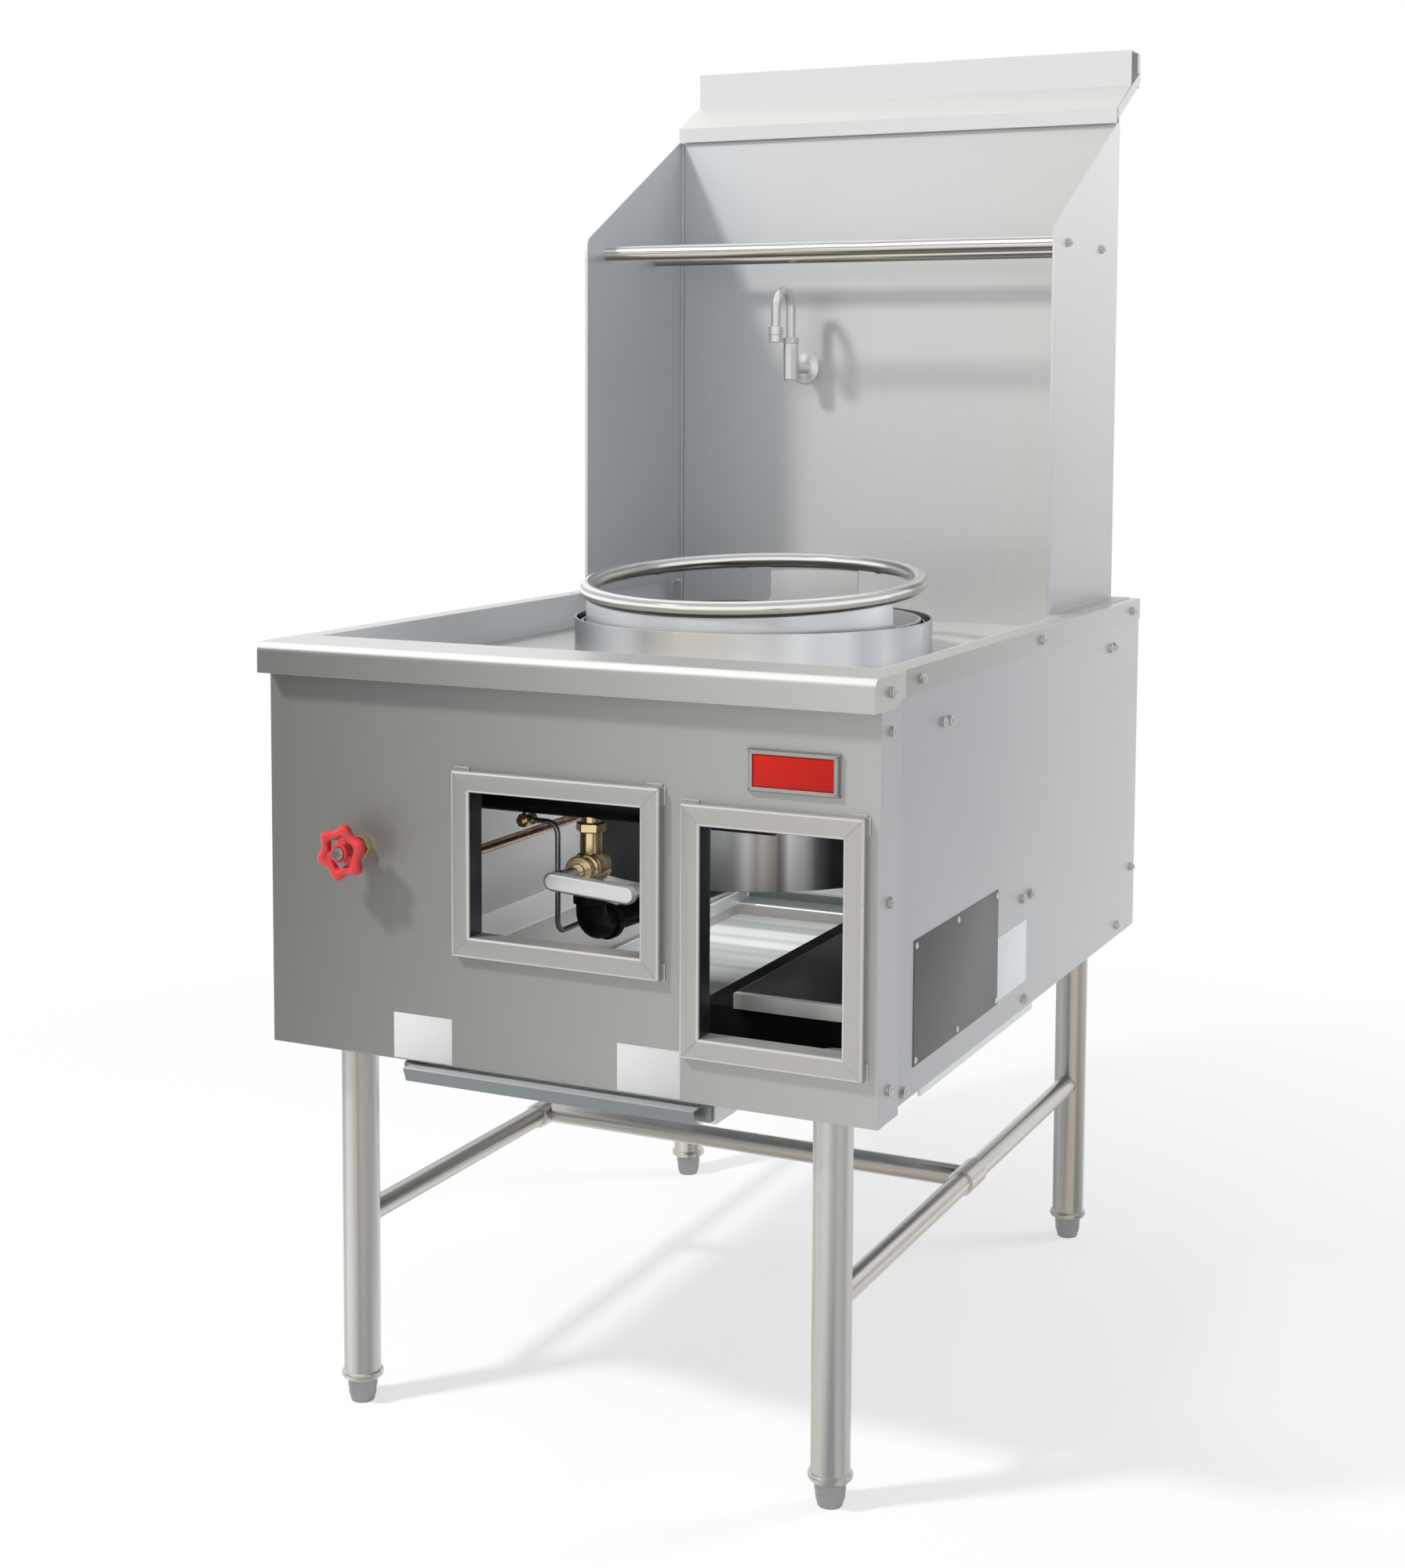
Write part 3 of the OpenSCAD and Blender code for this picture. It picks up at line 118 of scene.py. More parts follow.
class Shader:
    """A material's node tree, with short calls for the nodes that are used here."""

    def __init__(self, name):
        self.mat = bpy.data.materials.new(name)
        self.mat.use_nodes = True
        self.tree = self.mat.node_tree
        self.bsdf = self.tree.nodes["Principled BSDF"]
        self.coords = self.add("TexCoord").outputs["Object"]

    def put(self, socket, value):
        if isinstance(value, bpy.types.NodeSocket):
            self.tree.links.new(value, socket)
        else:
            socket.default_value = value

    def add(self, kind, inputs=None, **props):
        n = self.tree.nodes.new("ShaderNode" + kind)
        for key, value in props.items():
            setattr(n, key, value)
        for key, value in (inputs or {}).items():
            self.put(n.inputs[key], value)
        return n

    def math(self, operation, a, b=0.0):
        return self.add("Math", {0: a, 1: b}, operation=operation).outputs[0]

    def times(self, a, b):
        return self.math("MULTIPLY", a, b)

    def plus(self, a, b):
        return self.math("ADD", a, b)

    def split(self, vector):
        return self.add("SeparateXYZ", {0: vector}).outputs

    def normal(self):
        return self.add("NewGeometry").outputs["Normal"]

    def facing(self):
        """Which way the surface looks, as x, y and z."""
        return self.split(self.normal())

    def spread(self, value, low, high, to_low=0.0, to_high=1.0):
        """Takes low to to_low and high to to_high, and stops there."""
        inputs = {"Value": value, "From Min": low, "From Max": high, "To Min": to_low, "To Max": to_high}
        return self.add("MapRange", inputs).outputs["Result"]

    def noise(self, scale, detail, rough, shift=(0, 0, 0), coords=None):
        """Soft noise; scale is how fine it is along x, y and z."""
        vector = self.add("Mapping", {"Vector": coords or self.coords, "Scale": scale, "Location": shift})
        inputs = {"Vector": vector.outputs[0], "Scale": 1.0, "Detail": detail, "Roughness": rough}
        return self.add("TexNoise", inputs).outputs["Fac"]

    def mix(self, factor, a, b):
        n = self.add("Mix", {0: factor}, data_type="RGBA")
        self.put(n.inputs[6], (*a, 1) if isinstance(a, tuple) else a)
        self.put(n.inputs[7], (*b, 1) if isinstance(b, tuple) else b)
        return n.outputs[2]

    def ramp(self, value, low, high, bands):
        """Colour by value: bands are (value, colour), from low to high."""
        n = self.add("ValToRGB", {0: self.spread(value, low, high)})
        stops = n.color_ramp.elements
        while len(stops) < len(bands):
            stops.new(0.5)
        for stop, (place, colour) in zip(stops, sorted(bands)):
            stop.position = (place - low) / (high - low)
            stop.color = (*colour, 1)
        return n.outputs[0]

    def edges(self, radius):
        """Rounded-edge normal, and a mask that is 1 along the arrises."""
        soft = self.add("Bevel", {"Radius": radius}, samples=4).outputs[0]
        dot = self.add("VectorMath", {0: soft, 1: self.normal()}, operation="DOT_PRODUCT").outputs["Value"]
        return soft, self.spread(dot, 0.98, 0.75)

    # lightens the arrises towards colour: a painted highlight, and on paint partly wear
    def edge_wear_and_highlight(self, body, arris, by, colour=BARE_EDGE_HIGHLIGHT):
        return self.mix(self.times(arris, by), body, colour)

    def bump(self, height, depth, normal, strength):
        inputs = {"Height": height, "Distance": depth, "Strength": strength}
        if normal is not None:
            inputs["Normal"] = normal
        return self.add("Bump", inputs).outputs[0]

    def done(self, **sockets):
        for key, value in sockets.items():
            key = key.replace("_", " ")
            self.put(self.bsdf.inputs[key], (*value, 1) if isinstance(value, tuple) else value)
        return self.mat


def tint(colour, k):
    return tuple(min(1.0, c * k) for c in colour)


def even(scale):
    return (scale, scale, scale)


def along(grain, fine, long):
    """Scales of a noise: fine across the grain and long with it."""
    return tuple(long if axis == grain else fine for axis in "xyz")


# metres along x, y and z over which a steel's tone drifts to its far tone, a painted gradient of light and
# shade
PAINTED_DRIFT_REACH = ((-0.34, 0.34), (-0.48, 0.44), (0.9, 1.45))
brushed_made = {}


def brushed(name, colour, rough, grain, metal, tone=0.02, edge=0.0013, glint=0.55,
            side=None, up=None, far=None):
    """Satin or ground steel: faint lines along the grain, soft clouds, painted highlights on the arrises, and
    painted light and shade by facing and position.
    """
    key = name + "_" + grain
    if key in brushed_made:
        return brushed_made[key]
    s = Shader(key)
    fine = s.noise(along(grain, 1300, 14), 2, 0.6)
    band = s.noise(along(grain, 90, 1.2), 3, 0.55, (3, 7, 1))
    soft = s.noise(even(2.6), 3, 0.5, (11, 2, 5))
    lines = s.spread(s.plus(s.times(fine, 0.7), s.times(band, 0.3)), 0.36, 0.64)
    clouds = s.spread(soft, 0.3, 0.7)
    normal, arris = s.edges(edge)

    def lined(hue):
        return s.mix(lines, tint(hue, 1 - tone), tint(hue, 1 + tone))

    body = s.mix(s.times(clouds, 0.5), lined(colour), tint(colour, 1.06))
    # far: a painted gradient of light and shade towards the far tone along one axis
    if far:
        axis, there = far
        body = s.mix(s.spread(s.split(s.coords)[axis], *PAINTED_DRIFT_REACH[axis]), body, lined(there))
    facing = s.facing()
    # side: faces turned to the sides painted lighter or darker, a painted light and shade
    if side:
        body = s.mix(s.spread(s.math("ABSOLUTE", facing[0]), 0.6, 0.8), body, side)
    # up: a painted highlight on bends and a painted tone on faces that look up
    if up:
        bend, top = up
        body = s.mix(s.spread(facing[2], 0.2, 0.5), body, bend)
        body = s.mix(s.spread(facing[2], 0.86, 0.98), body, top)
    # arrises painted towards a bright steel by glint: a painted highlight
    body = s.edge_wear_and_highlight(body, arris, glint, STEEL_EDGE_HIGHLIGHT)
    gloss = s.plus(s.spread(lines, 0, 1, rough - 0.03, rough + 0.04), s.spread(clouds, 0, 1, 0.03, -0.03))
    brushed_made[key] = s.done(Base_Color=body, Roughness=gloss, Metallic=metal,
                               Normal=s.bump(fine, LINE_DEPTH, normal, 0.35))
    return brushed_made[key]


def polished(name, colour, rough, metal, tarnish, spots):
    """Chrome, brass or copper: a fine polish, faint tarnish, and edges lightened: partly wear, partly a
    painted highlight.
    """
    s = Shader(name)
    fine = s.noise(even(700), 2, 0.6)
    stain = s.spread(s.noise(even(16), 3, 0.5), 0.42, 0.72)
    normal, arris = s.edges(0.0006)
    body = s.mix(s.times(stain, spots), colour, tarnish)
    # edges lightened: partly wear, partly a painted highlight
    body = s.edge_wear_and_highlight(body, arris, 0.5, tint(colour, 1.25))
    gloss = s.plus(s.spread(stain, 0, 1, rough, rough + 0.08), s.spread(fine, 0.35, 0.65, -0.02, 0.04))
    return s.done(Base_Color=body, Roughness=gloss, Metallic=metal,
                  Normal=s.bump(fine, POLISH_DEPTH, normal, 0.3))


def coated(name, colour, rough, edge_wear_and_highlight, peel_depth, peel_scale, wear, coat):
    """Enamel or paint on metal: orange peel, dust and edges lightened towards another colour, partly wear and
    partly a painted highlight.
    """
    s = Shader(name)
    peel = s.noise(even(peel_scale), 3, 0.55)
    dust = s.spread(s.noise(even(55), 5, 0.65), 0.45, 0.75)
    normal, arris = s.edges(EDGE_RADIUS)
    body = s.mix(s.times(dust, 0.3), colour, tint(colour, 1.35))
    # edges lightened: wear and a painted highlight
    body = s.edge_wear_and_highlight(body, arris, wear, edge_wear_and_highlight)
    gloss = s.plus(s.spread(dust, 0, 1, rough, rough + 0.18), s.spread(peel, 0.3, 0.7, -0.03, 0.03))
    return s.done(Base_Color=body, Roughness=gloss, Coat_Weight=coat, Coat_Roughness=0.12,
                  Normal=s.bump(peel, peel_depth, normal, 0.6))


def rolled(name, bands, rough, metal, stain_by):
    """Sheet rolled round the burner's axis: painted reflections as soft upright bands of (degrees from the
    back, colour).
    """
    stain = (0.52, 0.48, 0.42)
    s = Shader(name)
    x, y, z = s.split(s.coords)
    turn = s.math("ARCTAN2", x, y)
    round_it = s.add("CombineXYZ", {0: turn, 1: z}).outputs[0]
    wide = s.noise((5, 0.3, 1), 1, 0.4, (1.3, 0, 0), round_it)
    soft = s.spread(s.noise(even(9), 3, 0.5), 0.35, 0.75)
    normal, arris = s.edges(EDGE_RADIUS)
    wavy = s.plus(turn, s.spread(wide, 0.1, 0.9, -0.02, 0.02))
    # painted reflections: colour picked by the angle round the axis
    body = s.ramp(s.times(wavy, 180 / math.pi), -180, 180, bands)
    body = s.mix(s.times(soft, stain_by), body, stain)
    body = s.edge_wear_and_highlight(body, arris, 0.6)
    gloss = s.spread(wide, 0.1, 0.9, rough - 0.02, rough + 0.03)
    return s.done(Base_Color=body, Roughness=gloss, Metallic=metal, Normal=normal)


def bar(name, bands, rough):
    """Polished round bar that lies level: painted reflections as bands of (how far its face looks up, colour).
    """
    s = Shader(name)
    drift = s.spread(s.noise(even(7), 3, 0.5), 0.3, 0.7, -0.07, 0.07)
    fine = s.noise(even(500), 2, 0.6)
    normal, arris = s.edges(EDGE_RADIUS)
    # painted reflections: colour picked by how far the face looks up
    body = s.ramp(s.plus(s.facing()[2], drift), -1, 1, bands)
    body = s.edge_wear_and_highlight(body, arris, 0.4)
    gloss = s.spread(fine, 0.3, 0.7, rough - 0.03, rough + 0.05)
    return s.done(Base_Color=body, Roughness=gloss, Metallic=0.85,
                  Normal=s.bump(fine, POLISH_DEPTH, normal, 0.3))


def ground_tube(axis):
    """Ground tube: painted reflections as soft light and dark streaks, picked by which way the surface faces
    and running its length, with a warm one here and there.
    """
    # painted reflections: dark, light and warm tones mixed by facing and position
    dark, light, warm, rough = (0.25, 0.253, 0.245), (0.68, 0.682, 0.665), (0.52, 0.44, 0.33), 0.28
    s = Shader("tube_steel_" + axis)
    turned = s.add("Mapping", {"Vector": s.normal(), "Scale": along(axis, 1.15, 0.0)}).outputs[0]
    moved = s.add("Mapping", {"Vector": s.coords, "Scale": along(axis, 5.0, 0.7)}).outputs[0]
    mixed = s.add("VectorMath", {0: turned, 1: moved}, operation="ADD").outputs[0]
    wide = s.spread(s.noise(even(1), 1, 0.4, (2.2, 0.4, 1.7), mixed), 0.34, 0.66)
    tan = s.spread(s.noise(even(1.6), 1, 0.4, (7.2, 3.4, 5.7), mixed), 0.50, 0.66)
    fine = s.noise(along(axis, 900, 9), 2, 0.6)
    normal, arris = s.edges(EDGE_RADIUS)
    body = s.mix(wide, dark, light)
    body = s.mix(s.times(tan, 0.7), body, warm)
    body = s.mix(s.times(s.spread(fine, 0.4, 0.6), 0.03), body, tint(light, 1.1))
    body = s.edge_wear_and_highlight(body, arris, 0.4)
    gloss = s.spread(fine, 0.3, 0.7, rough - 0.02, rough + 0.03)
    return s.done(Base_Color=body, Roughness=gloss, Metallic=0.85, Normal=normal)


def plain_print(name, colour, rough, fibre):
    """Paper label or etched plate: bare, with a faint fibre and a little dirt."""
    s = Shader(name)
    grain = s.noise(even(fibre), 3, 0.6)
    dirt = s.spread(s.noise(even(30), 4, 0.6), 0.45, 0.8)
    body = s.mix(s.times(dirt, 0.35), colour, tint(colour, 0.86))
    gloss = s.spread(grain, 0.3, 0.7, rough - 0.06, rough + 0.08)
    return s.done(Base_Color=body, Roughness=gloss, Normal=s.bump(grain, 0.00003, None, 0.4))


def shelf_plate():
    """Dark coated plate with faint specks; its lip and the front of its top are bare steel."""
    bare_to = at(0, BRACKET_FRONT, 0).y
    blur = 0.0004
    s = Shader("shelf_plate")
    fine = s.noise(even(600), 2, 0.6)
    normal, arris = s.edges(0.0013)
    facing = s.facing()
    lip = s.spread(facing[1], -0.5, -0.8)
    top = s.spread(facing[2], 0.5, 0.8)
    bare = s.times(s.spread(s.split(s.coords)[1], bare_to + blur, bare_to - blur), top)
    speck = s.times(s.spread(s.noise(even(210), 1, 0.4), 0.66, 0.72), top)
    body = s.mix(s.times(speck, 0.5), (0.005, 0.0055, 0.006), (0.08, 0.08, 0.08))
    body = s.mix(bare, body, (0.22, 0.22, 0.215))
    body = s.mix(lip, body, (0.60, 0.59, 0.57))
    # arrises lightened towards bare steel, most on the lip: wear and a painted highlight
    body = s.edge_wear_and_highlight(body, arris, s.spread(lip, 0, 1, 0.6, 0.85))
    return s.done(Base_Color=body, Roughness=s.spread(fine, 0.3, 0.7, 0.34, 0.46),
                  Metallic=s.spread(lip, 0, 1, 0.0, 0.6), Normal=s.bump(fine, LINE_DEPTH, normal, 0.3))


def tray_sheet():
    """Dull blue-grey sheet, warmer at the back; faces that look up are painted brighter, a painted light from
    above, and streaked across.
    """
    s = Shader("tray_sheet")
    fine = s.noise(along("x", 1300, 14), 2, 0.6)
    across = s.spread(s.noise((0.6, 22, 1), 2, 0.5), 0.40, 0.62)
    normal, arris = s.edges(0.0012)
    # upward faces painted lighter: painted light from above
    up = s.spread(s.facing()[2], 0.5, 0.8)
    body = s.mix(s.spread(fine, 0.3, 0.7), (0.205, 0.23, 0.24), (0.235, 0.26, 0.27))
    body = s.mix(s.spread(s.split(s.coords)[1], 0.0, 0.2), body, (0.56, 0.54, 0.51))
    body = s.mix(up, body, s.mix(across, (0.44, 0.48, 0.49), (0.82, 0.85, 0.86)))
    # arrises lightened: a painted highlight
    body = s.edge_wear_and_highlight(body, arris, 0.4, (0.74, 0.77, 0.79))
    return s.done(Base_Color=body, Roughness=0.36, Metallic=0.55,
                  Normal=s.bump(fine, LINE_DEPTH, normal, 0.3))


# brushed steels: colour, roughness, usual grain, metallic. The colours are set panel by panel, so one
# stainless steel appears as lit and shaded copies: painted light and shade.
STEELS = {
    "panel_steel": ((0.20, 0.203, 0.193), 0.40, "z", 0.55),
    "frame_steel": ((0.70, 0.72, 0.73), 0.4, "y", 0.5),
    "side_steel": ((0.41, 0.42, 0.435), 0.40, "z", 0.6),
    "trim_steel": ((0.33, 0.325, 0.31), 0.34, "z", 0.6),
    # a lighter copy of the trim steel for the rounded arrises: a painted highlight
    "arris_highlight_steel": ((0.60, 0.595, 0.58), 0.3, "x", 0.6),
    # near-black steel for the window jambs: a painted shade
    "jamb_shade_steel": ((0.07, 0.08, 0.09), 0.3, "z", 0.8),
    "cap_steel": ((0.235, 0.234, 0.228), 0.32, "x", 0.65),
    "rim_steel": ((0.36, 0.352, 0.335), 0.32, "y", 0.65),
    "deck_steel": ((0.47, 0.475, 0.475), 0.40, "x", 0.6),
    "back_steel": ((0.62, 0.64, 0.665), 0.42, "z", 0.6),
    "wing_left": ((0.66, 0.685, 0.715), 0.42, "z", 0.6),
    "wing_right": ((0.50, 0.505, 0.515), 0.40, "z", 0.6),
    "top_steel": ((0.63, 0.645, 0.65), 0.40, "x", 0.6),
    "bezel_steel": ((0.36, 0.355, 0.335), 0.28, "x", 0.8),
    "seam_steel": ((0.46, 0.47, 0.48), 0.36, "z", 0.6),
    "strip_steel": ((0.22, 0.245, 0.25), 0.42, "x", 0.5),
    "pan_steel": ((0.34, 0.345, 0.34), 0.42, "y", 0.5),
    "lever_satin": ((0.74, 0.745, 0.75), 0.3, "x", 0.7),
}
# how a steel's tone differs, all painted light and shade: on faces turned to the sides, with a painted
# highlight on a bend and a painted tone on top, and as a painted gradient towards the far end of an axis; and
# where its lines or arrises are stronger or fainter than usual
EXTRAS = {
    "panel_steel": {"side": (0.45, 0.46, 0.475), "far": (0, (0.45, 0.447, 0.435))},
    "back_steel": {"far": (0, (0.66, 0.652, 0.63))},
    "deck_steel": {"side": (0.94, 0.965, 0.99), "far": (0, (0.95, 0.945, 0.925))},
    "cap_steel": {"up": ((0.86, 0.855, 0.84), (0.62, 0.615, 0.60)), "far": (0, (0.52, 0.51, 0.485))},
    "rim_steel": {"up": ((0.80, 0.795, 0.78), (0.62, 0.615, 0.60)), "far": (1, (0.52, 0.515, 0.50))},
    "top_steel": {"up": ((0.79, 0.785, 0.76), (0.79, 0.785, 0.76)), "far": (0, (0.71, 0.72, 0.725))},
    "side_steel": {"far": (1, (0.56, 0.57, 0.58))},
    "wing_right": {"far": (2, (0.77, 0.78, 0.79))},
    "trim_steel": {"far": (0, (0.46, 0.447, 0.425)), "edge": 0.0004, "glint": 0.0},
    "arris_highlight_steel": {"tone": 0.01, "edge": 0.0003, "glint": 0.0},
    "lever_satin": {"tone": 0.03},
}
# coated metals: colour, roughness, edge colour (wear and painted highlight), depth and scale of the peel,
# wear, clear coat
COATS = {
    "cast_iron": ((0.075, 0.073, 0.07), 0.62, (0.2, 0.17, 0.15), 0.0004, 260, 0.35, 0.0),
    "black_iron": ((0.006, 0.006, 0.007), 0.34, (0.05, 0.05, 0.055), 0.00012, 300, 0.3, 0.0),
    "black_sheet": ((0.006, 0.006, 0.007), 0.4, (0.08, 0.08, 0.08), 0.00008, 380, 0.35, 0.0),
    "red_paint": ((0.56, 0.028, 0.030), 0.3, (0.72, 0.12, 0.11), 0.0005, 330, 0.4, 0.3),
    "foot_grey": ((0.30, 0.302, 0.30), 0.36, (0.50, 0.50, 0.495), 0.0002, 160, 0.35, 0.0),
    "badge_red": ((0.47, 0.013, 0.008), 0.5, (0.58, 0.06, 0.05), 0.00003, 500, 0.4, 0.0),
}
# polished metals: colour, roughness, metallic, tarnish, how much of it
POLISHES = {
    "brass": ((0.88, 0.70, 0.42), 0.2, 1.0, (0.66, 0.45, 0.20), 0.3),
    "copper": ((0.76, 0.49, 0.39), 0.24, 1.0, (0.50, 0.26, 0.18), 0.4),
    "chrome": ((0.80, 0.80, 0.81), 0.13, 1.0, (0.66, 0.66, 0.67), 0.3),
    "satin_chrome": ((0.76, 0.765, 0.775), 0.3, 0.9, (0.64, 0.64, 0.65), 0.3),
    "tube_grey": ((0.42, 0.42, 0.41), 0.3, 1.0, tint((0.42, 0.42, 0.41), 0.72), 0.3),
    "bolt_steel": ((0.50, 0.50, 0.495), 0.15, 1.0, tint((0.50, 0.50, 0.495), 0.72), 0.3),
    "weld_bead": ((0.34, 0.33, 0.32), 0.34, 1.0, (0.22, 0.17, 0.13), 0.3),
}
# labels and plate: colour, roughness, scale of the fibre
PRINTS = {
    "label_paper": ((0.60, 0.61, 0.612), 0.5, 900),
    # the same paper as the front labels, painted lighter: painted light on the side
    "side_paper": ((0.76, 0.78, 0.80), 0.5, 900),
    "plate_etched": ((0.105, 0.108, 0.108), 0.42, 700),
}
# painted reflections on rolled sheet, by degrees from the back
DRUM_REFLECTION_BANDS = [
    (-180, (0.20, 0.21, 0.22)), (-120, (0.25, 0.26, 0.27)), (0, (0.55, 0.55, 0.55)),
    (96, (0.006, 0.008, 0.01)), (121, (0.008, 0.01, 0.012)), (131, (0.02, 0.024, 0.027)),
    (136, (0.16, 0.175, 0.19)), (140, (0.70, 0.72, 0.73)), (145, (0.96, 0.97, 0.98)),
    (147, (0.12, 0.12, 0.125)), (149, (0.40, 0.37, 0.33)), (153, (0.46, 0.43, 0.39)),
    (155, (0.26, 0.255, 0.25)), (158, (0.60, 0.60, 0.60)), (162, (0.42, 0.44, 0.45)),
    (170, (0.30, 0.32, 0.33)),
]
COLLAR_REFLECTION_BANDS = [
    (-179, (0.72, 0.70, 0.65)), (-169, (0.53, 0.53, 0.52)), (-161, (0.67, 0.68, 0.69)),
    (-150, (0.52, 0.54, 0.57)), (-140, (0.33, 0.35, 0.38)), (-124, (0.10, 0.11, 0.12)),
    (0, (0.39, 0.40, 0.40)), (66, (0.12, 0.13, 0.14)), (80, (0.45, 0.47, 0.50)),
    (91, (0.79, 0.81, 0.83)), (103, (0.62, 0.65, 0.69)), (112, (0.81, 0.82, 0.83)),
    (121, (0.57, 0.60, 0.64)), (128, (0.76, 0.77, 0.79)), (137, (0.69, 0.71, 0.74)),
    (143, (0.79, 0.81, 0.82)), (151, (0.71, 0.71, 0.73)), (159, (0.79, 0.78, 0.77)),
    (168, (0.77, 0.75, 0.70)),
]
SKIRT_REFLECTION_BANDS = [
    (-180, (0.74, 0.75, 0.76)), (-140, (0.62, 0.65, 0.68)), (-100, (0.52, 0.55, 0.58)),
    (-40, (0.66, 0.68, 0.70)), (-10, (0.90, 0.91, 0.92)), (10, (0.84, 0.83, 0.81)),
    (30, (0.60, 0.61, 0.62)), (60, (0.42, 0.44, 0.46)), (95, (0.68, 0.72, 0.75)),
    (112, (0.92, 0.93, 0.94)), (126, (0.72, 0.75, 0.78)), (152, (0.76, 0.78, 0.80)),
]
# painted reflections on a level bar, from its underside at -1 to its top at 1
RING_REFLECTION_BANDS = [
    (-1, (0.05, 0.035, 0.02)), (-0.72, (0.16, 0.14, 0.115)), (-0.4, (0.42, 0.40, 0.37)),
    (-0.05, (0.50, 0.485, 0.46)), (0.16, (0.95, 0.945, 0.93)), (0.34, (0.80, 0.795, 0.78)),
    (0.5, (0.40, 0.40, 0.395)), (0.7, (0.50, 0.50, 0.50)), (0.88, (0.96, 0.96, 0.95)),
    (1, (0.60, 0.60, 0.60)),
]
RAIL_REFLECTION_BANDS = [
    (-1, (0.22, 0.20, 0.18)), (-0.6, (0.46, 0.42, 0.37)), (-0.3, (0.74, 0.69, 0.62)),
    (-0.1, (0.80, 0.78, 0.75)), (0.05, (0.24, 0.235, 0.23)), (0.15, (0.95, 0.95, 0.94)),
    (0.45, (0.98, 0.98, 0.97)), (0.55, (0.30, 0.30, 0.30)), (0.68, (0.55, 0.55, 0.55)),
    (0.9, (0.85, 0.85, 0.85)), (1, (0.6, 0.6, 0.6)),
]
OTHERS = {
    "drum": rolled("drum_steel", DRUM_REFLECTION_BANDS, 0.26, 0.6, 0.1),
    "collar": rolled("collar_steel", COLLAR_REFLECTION_BANDS, 0.26, 0.7, 0.06),
    "skirt": rolled("skirt_steel", SKIRT_REFLECTION_BANDS, 0.28, 0.6, 0.06),
    "ring_steel": bar("ring_steel", RING_REFLECTION_BANDS, 0.16),
    "rail": bar("rail_steel", RAIL_REFLECTION_BANDS, 0.14),
    "shelf_plate": shelf_plate(),
    "tray_sheet": tray_sheet(),
    "tube_steel": ground_tube("z"),
    "tube_along": ground_tube("y"),
    "tube_across": ground_tube("x"),
}
for kind, table in ((coated, COATS), (polished, POLISHES), (plain_print, PRINTS)):
    for name, values in table.items():
        OTHERS[name] = kind(name, *values)
for name, socket, value in (("foot_grey", "Metallic", 0.8), ("plate_etched", "Metallic", 0.35),
                            ("black_iron", "Specular IOR Level", 0.12),
                            ("black_sheet", "Specular IOR Level", 0.03),
                            ("badge_red", "Specular IOR Level", 0.2)):
    OTHERS[name].node_tree.nodes["Principled BSDF"].inputs[socket].default_value = value

# the look of each node that doesn't take the one named as its slot
NODE_LOOKS = {
    "left_side_panel": "side_steel", "right_side_panel": "side_steel", "rear_panel": "side_steel",
    "front_cap": "cap_steel", "left_rim": "rim_steel", "right_rim": "rim_steel", "front_rail": "rail",
    "rear_rail": "rail", "deck_pan": "deck_steel", "back_panel": "back_steel", "left_wing": "wing_left",
    "right_wing": "wing_right", "top_cap": "top_steel", "water_valve_stem": "bolt_steel",
    "swing_spout": "satin_chrome", "fire_chamber": "drum", "deck_collar": "collar",
    "wok_ring_skirt": "skirt", "side_shelf": "shelf_plate", "drip_tray": "tray_sheet",
    "left_stretcher": "tube_along", "right_stretcher": "tube_along", "cross_stretcher": "tube_across",
}


def material(look, grain=None):
    """The material of that name; a steel can take another grain than its usual one."""
    if look not in STEELS:
        return OTHERS[look]
    colour, rough, usual, metal = STEELS[look]
    return brushed(look, colour, rough, grain or usual, metal, **EXTRAS.get(look, {}))


def dress():
    slot_of = {p["node"]: p["material_slot"] for p in frame["record"]["subparts"]}
    for name, ob in nodes.items():
        ob.data.materials.clear()
        ob.data.materials.append(material(NODE_LOOKS.get(name, slot_of[name])))


dress()

# Mesh tools
TURNS = {
    "z": Matrix.Identity(3),
    "y": Matrix(((1, 0, 0), (0, 0, -1), (0, 1, 0))),
    "x": Matrix(((0, 0, 1), (0, 1, 0), (-1, 0, 0))),
}


def made_of(name, bm):
    """An object of that name, made of a bmesh that is then done with."""
    mesh = bpy.data.meshes.new(name)
    bm.to_mesh(mesh)
    bm.free()
    ob = bpy.data.objects.new(name, mesh)
    collection.objects.link(ob)
    return ob


def piece(name, bm, body, looks, smooth, instead=()):
    """A piece that rides on a body; edges sharper than smooth degrees stay sharp."""
    bmesh.ops.recalc_face_normals(bm, faces=bm.faces)
    ob = made_of(name, bm)
    for p in ob.data.polygons:
        p.use_smooth = True
    ob.data.set_sharp_from_angle(angle=math.radians(smooth))
    for look in looks:
        ob.data.materials.append(look)
    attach(ob, body)
    if instead:
        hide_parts(*instead)
    return ob


def lathe(bm, profile, place, axis, n, turn=0.0):
    """A turned solid: profile is (radius, height) from one end of its axis to the other."""
    rings = []
    for r, h in profile:
        ring = []
        for i in range(n if r > 1e-6 else 1):
            a = turn + 2 * math.pi * i / n
            v = TURNS[axis] @ Vector((r * math.cos(a), r * math.sin(a), h))
            ring.append(bm.verts.new(at(place[0] + v.x, place[1] + v.y, place[2] + v.z)))
        rings.append(ring)
    for a, b in zip(rings, rings[1:]):
        for i in range(n):
            j = (i + 1) % n
            corners = [a[i % len(a)], a[j % len(a)], b[j % len(b)], b[i % len(b)]]
            corners = list(dict.fromkeys(corners))
            if len(corners) > 2:
                bm.faces.new(corners)
    for ring in (rings[0], rings[-1]):
        if len(ring) > 2:
            bm.faces.new(ring)


